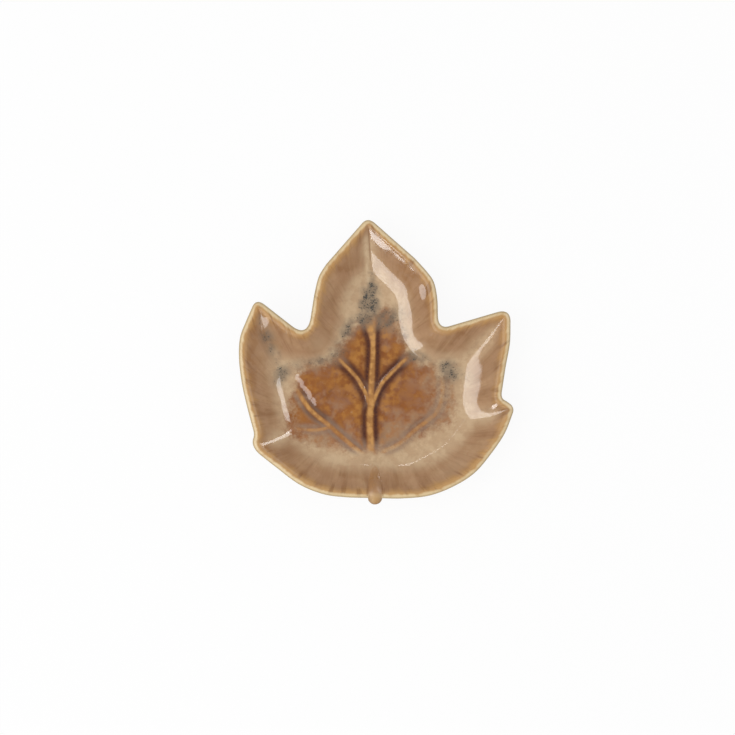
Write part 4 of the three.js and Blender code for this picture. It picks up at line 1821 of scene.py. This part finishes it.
    def _lines(self, plan: Array, inset: Array, across: Array) -> Array:
        """Paints shade as dark lines along the crease at the crown tip and along the stem's sides where it
        meets the wall.

        Args:
            plan: Points in plan.
            inset: Their insets.
            across: Their distances from the stem, in half widths of it.

        Returns:
            How dark each point is, 0 to 1.
        """
        # Painted shade along the crown's crease.
        reach = distance_to_line(plan, self.plan.valleys[self.creased])[0]
        crease = bell(reach, self.crease_width) * smoothstep(inset, *self.crease_from)
        crease = crease * (1 - smoothstep(inset, *self.crease_until))
        # Painted shade along both sides of the stem.
        seam = bell(across - self.stem_shade_place, self.stem_shade_width)
        seam = seam * (1 - smoothstep(inset, *self.stem_shade_until)) * (inset > self.stem_shade_inset)
        return np.maximum(seam, crease)

    def _pale(self, plan: Array, inset: Array) -> Array:
        """Pools pale glaze in the valleys, at the wall's foot and beside the crown's crease.

        Args:
            plan: Points in plan.
            inset: Their insets.

        Returns:
            How pale each point is, 0 to 1.
        """
        reach, _, side = distance_to_line(plan, self.plan.valleys[self.creased])
        streak = bell(reach - self.streak_place, self.streak_width) * (side > 0)
        streak = streak * smoothstep(inset, *self.streak_from)
        valley = bell(self.plan.valley_distance(plan), self.valley_width)
        valley = valley * smoothstep(inset, *self.valley_from) * self.valley_pale
        pale = np.maximum(valley, smoothstep(inset, *self.foot_from) * self.foot_pale)
        pale = np.maximum(pale * (1 - self.bare_valley.at(plan)), patches_at(self.pales, plan))
        return np.maximum(pale, streak)


@dataclass
class ClayBody:
    """The clay under the glaze. Only its bare foot ring shows."""

    plan: LeafPlan
    section: DishSection
    gap: float = 0.04
    foot_round: float = 0.5

    def build(self) -> RingPiece:
        """Models the clay from the floor over the lip to the foot and the base.

        Returns:
            The clay.
        """
        s, p = self.section, self.plan
        rings = [lifted(p.floor_ring(share), s.floor_clay - self.gap) for share in (0.0, 0.5, 0.96)]
        inside = s.foot_inset + s.foot_width
        r, skin = self.foot_round, s.seam - self.gap
        foot = [
            (s.foot_side(s.base) + self.gap, s.base), (s.foot_side(s.bare_foot), s.bare_foot + self.gap),
            (s.foot_side(s.bare_foot) + 0.02, s.bare_foot - 0.1), (s.foot_inset, r),
            (s.foot_inset + 0.13 * r, 0.5 * r), (s.foot_inset + 0.5 * r, 0.13 * r), (s.foot_inset + r, 0.0),
            (inside - r, 0.0), (inside - 0.5 * r, 0.13 * r), (inside - 0.13 * r, 0.5 * r), (inside, r),
            (inside + 0.24, s.bare_foot), (inside + s.foot_draft, s.base),
        ]
        section = [*s.wall_curve(7, skin)[2:], *s.lip(6, skin)[1:-1], *s.outside(5, skin), *foot]
        rings += [lifted(p.ring(inset), z) for inset, z in section]
        core = p.ring(inside + s.foot_draft)
        rings += [lifted(p.centre + (core - p.centre) * share, s.base) for share in (0.5, 0.0)]
        return RingPiece("clay_body", rings)

    def dress(self, piece: RingPiece, effects: EffectGroups) -> None:
        """Gives the clay its finish and its place."""
        piece.hand_over(Slot.CLAY, BareClay().material(effects), "stoneware_body")


@dataclass
class BaseCoat:
    """The glaze inside the foot ring."""

    plan: LeafPlan
    section: DishSection
    gap: float = 0.04

    def build(self) -> RingPiece:
        """Models a thin plate of glaze that turns down along the foot.

        Returns:
            The plate.
        """
        s, p = self.section, self.plan
        inside = s.foot_inset + s.foot_width
        edge = inside + 0.24
        spread = p.ring(inside + s.foot_draft + 1.2) - p.centre
        under, over = s.base - s.glaze, s.base - self.gap
        rings = [lifted(p.centre + spread * share, under) for share in (0.0, 0.25, 0.5, 0.75, 0.9, 1.0)]
        turned = [
            (inside + s.foot_draft + 0.65, under - 0.1), (edge + 0.5, under - 0.4),
            (edge + 0.36, s.bare_foot + 0.3), (edge + 0.2, s.bare_foot + 0.05), (edge + 0.06, s.bare_foot),
            (inside + s.foot_draft + self.gap, over),
        ]
        rings += [lifted(p.ring(inset), z) for inset, z in turned]
        rings += [lifted(p.centre + spread * share, over) for share in (0.7, 0.3, 0.0)]
        return RingPiece("base_coat", rings)

    def dress(self, piece: RingPiece, effects: EffectGroups) -> None:
        """Gives the base its glaze and its place."""
        piece.hand_over(Slot.BASE_GLAZE, BaseGlaze().material(effects), "base_glaze")


@dataclass(frozen=True)
class Softbox:
    """A rectangular studio lamp, placed by its direction from the saucer."""

    name: str
    azimuth: float
    elevation: float
    width: float
    height: float
    radiance: float
    lit: Lit
    roll: float = 0.0
    distance: float = 1.0

    def build(self) -> None:
        """Hangs the lamp and turns it to the saucer."""
        a, e = math.radians(self.azimuth), math.radians(self.elevation)
        towards = Vector((math.cos(a) * math.cos(e), math.sin(a) * math.cos(e), math.sin(e)))
        data = bpy.data.lights.new(self.name, "AREA")
        data.shape = "RECTANGLE"
        data.size = self.width
        data.size_y = self.height
        data.energy = self.radiance * math.pi * self.width * self.height
        lamp = bpy.data.objects.new(self.name, data)
        lamp.location = towards * self.distance
        rolled = Quaternion((0.0, 0.0, 1.0), math.radians(self.roll))
        lamp.rotation_euler = ((-towards).to_track_quat("-Z", "Y") @ rolled).to_euler()
        lamp.visible_diffuse = self.lit is not Lit.SHINE
        lamp.visible_glossy = self.lit is not Lit.MATT
        bpy.context.scene.collection.objects.link(lamp)


@dataclass
class Studio:
    """Pale floor, soft light and a camera straight above the saucer."""

    floor_size: float = 6.0
    floor_white: float = 0.86
    floor_glow: float = 0.92
    ambient: float = 0.74
    sensor: float = 36.0
    camera_height: float = 1.5
    rim_plane: float = 0.018
    middle_pixel: tuple = (376.45, 362.15)
    softboxes: tuple = (
        Softbox("main_softbox", 199.0, 38.5, 1.02, 0.56, 10.2, Lit.SHINE),
        Softbox("crown_strip", 226.5, 9.2, 0.17, 0.133, 18.0, Lit.SHINE),
        Softbox("right_strip", 19.0, 44.0, 0.2, 0.24, 12.0, Lit.SHINE),
        Softbox("low_strip", 32.0, 27.0, 0.4, 0.64, 14.0, Lit.SHINE),
        Softbox("back_strip", 113.0, 54.0, 0.95, 0.02, 15.0, Lit.SHINE, 42.0),
        Softbox("fill", 205.0, 60.0, 0.9, 0.9, 1.6, Lit.MATT),
    )

    def build(self) -> None:
        """Sets up floor, lamps, surroundings and camera."""
        scene = bpy.context.scene
        scene.view_settings.view_transform = "Standard"
        self._floor()
        for softbox in self.softboxes:
            softbox.build()
        self._surroundings(scene)
        self._camera(scene)

    @staticmethod
    def _seen(s: NodeSheet) -> Socket:
        """Tells the rays that show the background from those that light the scene.

        Args:
            s: The sheet to add to.

        Returns:
            1 for rays that show it, else 0.
        """
        path = s.add("ShaderNodeLightPath").outputs
        seen = s.math("MAXIMUM", path["Is Camera Ray"], path["Is Glossy Ray"])
        return s.math("MAXIMUM", seen, path["Is Transmission Ray"])

    def _floor(self) -> None:
        """Lays the floor, white to the camera but for the saucer's shadow."""
        bpy.ops.object.select_all(action="DESELECT")
        bpy.ops.mesh.primitive_plane_add(size=self.floor_size)
        floor = bpy.context.object
        floor.name = "studio_floor"
        made, s = new_material("studio_floor")
        paint = s.add("ShaderNodeBsdfDiffuse")
        paint.inputs["Color"].default_value = (self.floor_white, self.floor_white, self.floor_white, 1.0)
        glow = s.add("ShaderNodeEmission")
        mixed = s.add("ShaderNodeMixShader")
        s.feed(mixed.inputs[0], s.times(self._seen(s), self.floor_glow))
        s.feed(mixed.inputs[1], paint.outputs[0])
        s.feed(mixed.inputs[2], glow.outputs[0])
        s.feed(s.add("ShaderNodeOutputMaterial").inputs["Surface"], mixed.outputs[0])
        floor.data.materials.append(made)

    def _surroundings(self, scene: bpy.types.Scene) -> None:
        """Lights the scene softly from all round, white where it is seen.

        Args:
            scene: The scene to light.
        """
        world = bpy.data.worlds.new("studio")
        world.use_nodes = True
        scene.world = world
        s = NodeSheet(world.node_tree)
        strength = s.add("ShaderNodeMapRange")
        strength.inputs["To Min"].default_value = self.ambient
        strength.inputs["To Max"].default_value = 1.0
        s.feed(strength.inputs["Value"], self._seen(s))
        background = s.add("ShaderNodeBackground")
        background.inputs["Color"].default_value = (1.0, 1.0, 1.0, 1.0)
        s.feed(background.inputs["Strength"], strength.outputs["Result"])
        s.feed(s.add("ShaderNodeOutputWorld").inputs["Surface"], background.outputs[0])

    def _camera(self, scene: bpy.types.Scene) -> None:
        """Puts the camera over the saucer at the photograph's scale.

        Args:
            scene: The scene to see.
        """
        data = bpy.data.cameras.new("camera")
        distance = self.camera_height - self.rim_plane
        data.sensor_width = self.sensor
        data.lens = data.sensor_width * distance / (PHOTO_PIXELS * MM_PER_PIXEL * MM)
        camera = bpy.data.objects.new("camera", data)
        half = PHOTO_PIXELS / 2
        x = (half - self.middle_pixel[0]) * MM_PER_PIXEL * MM
        y = (self.middle_pixel[1] - half) * MM_PER_PIXEL * MM
        camera.location = (x, y, self.camera_height)
        scene.collection.objects.link(camera)
        scene.camera = camera


def main() -> None:
    """Builds the saucer piece by piece, dresses it and sets up the studio."""
    logging.basicConfig(level=logging.INFO, format="%(name)s: %(message)s")
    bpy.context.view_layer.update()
    plan, section = LeafPlan(), DishSection()
    effects = EffectGroups()
    for sub_assembly in (GlazeCoat(plan, section), ClayBody(plan, section), BaseCoat(plan, section)):
        piece = sub_assembly.build()
        sub_assembly.dress(piece, effects)
    Studio().build()
    bpy.context.view_layer.update()


if __name__ == "__main__":
    main()
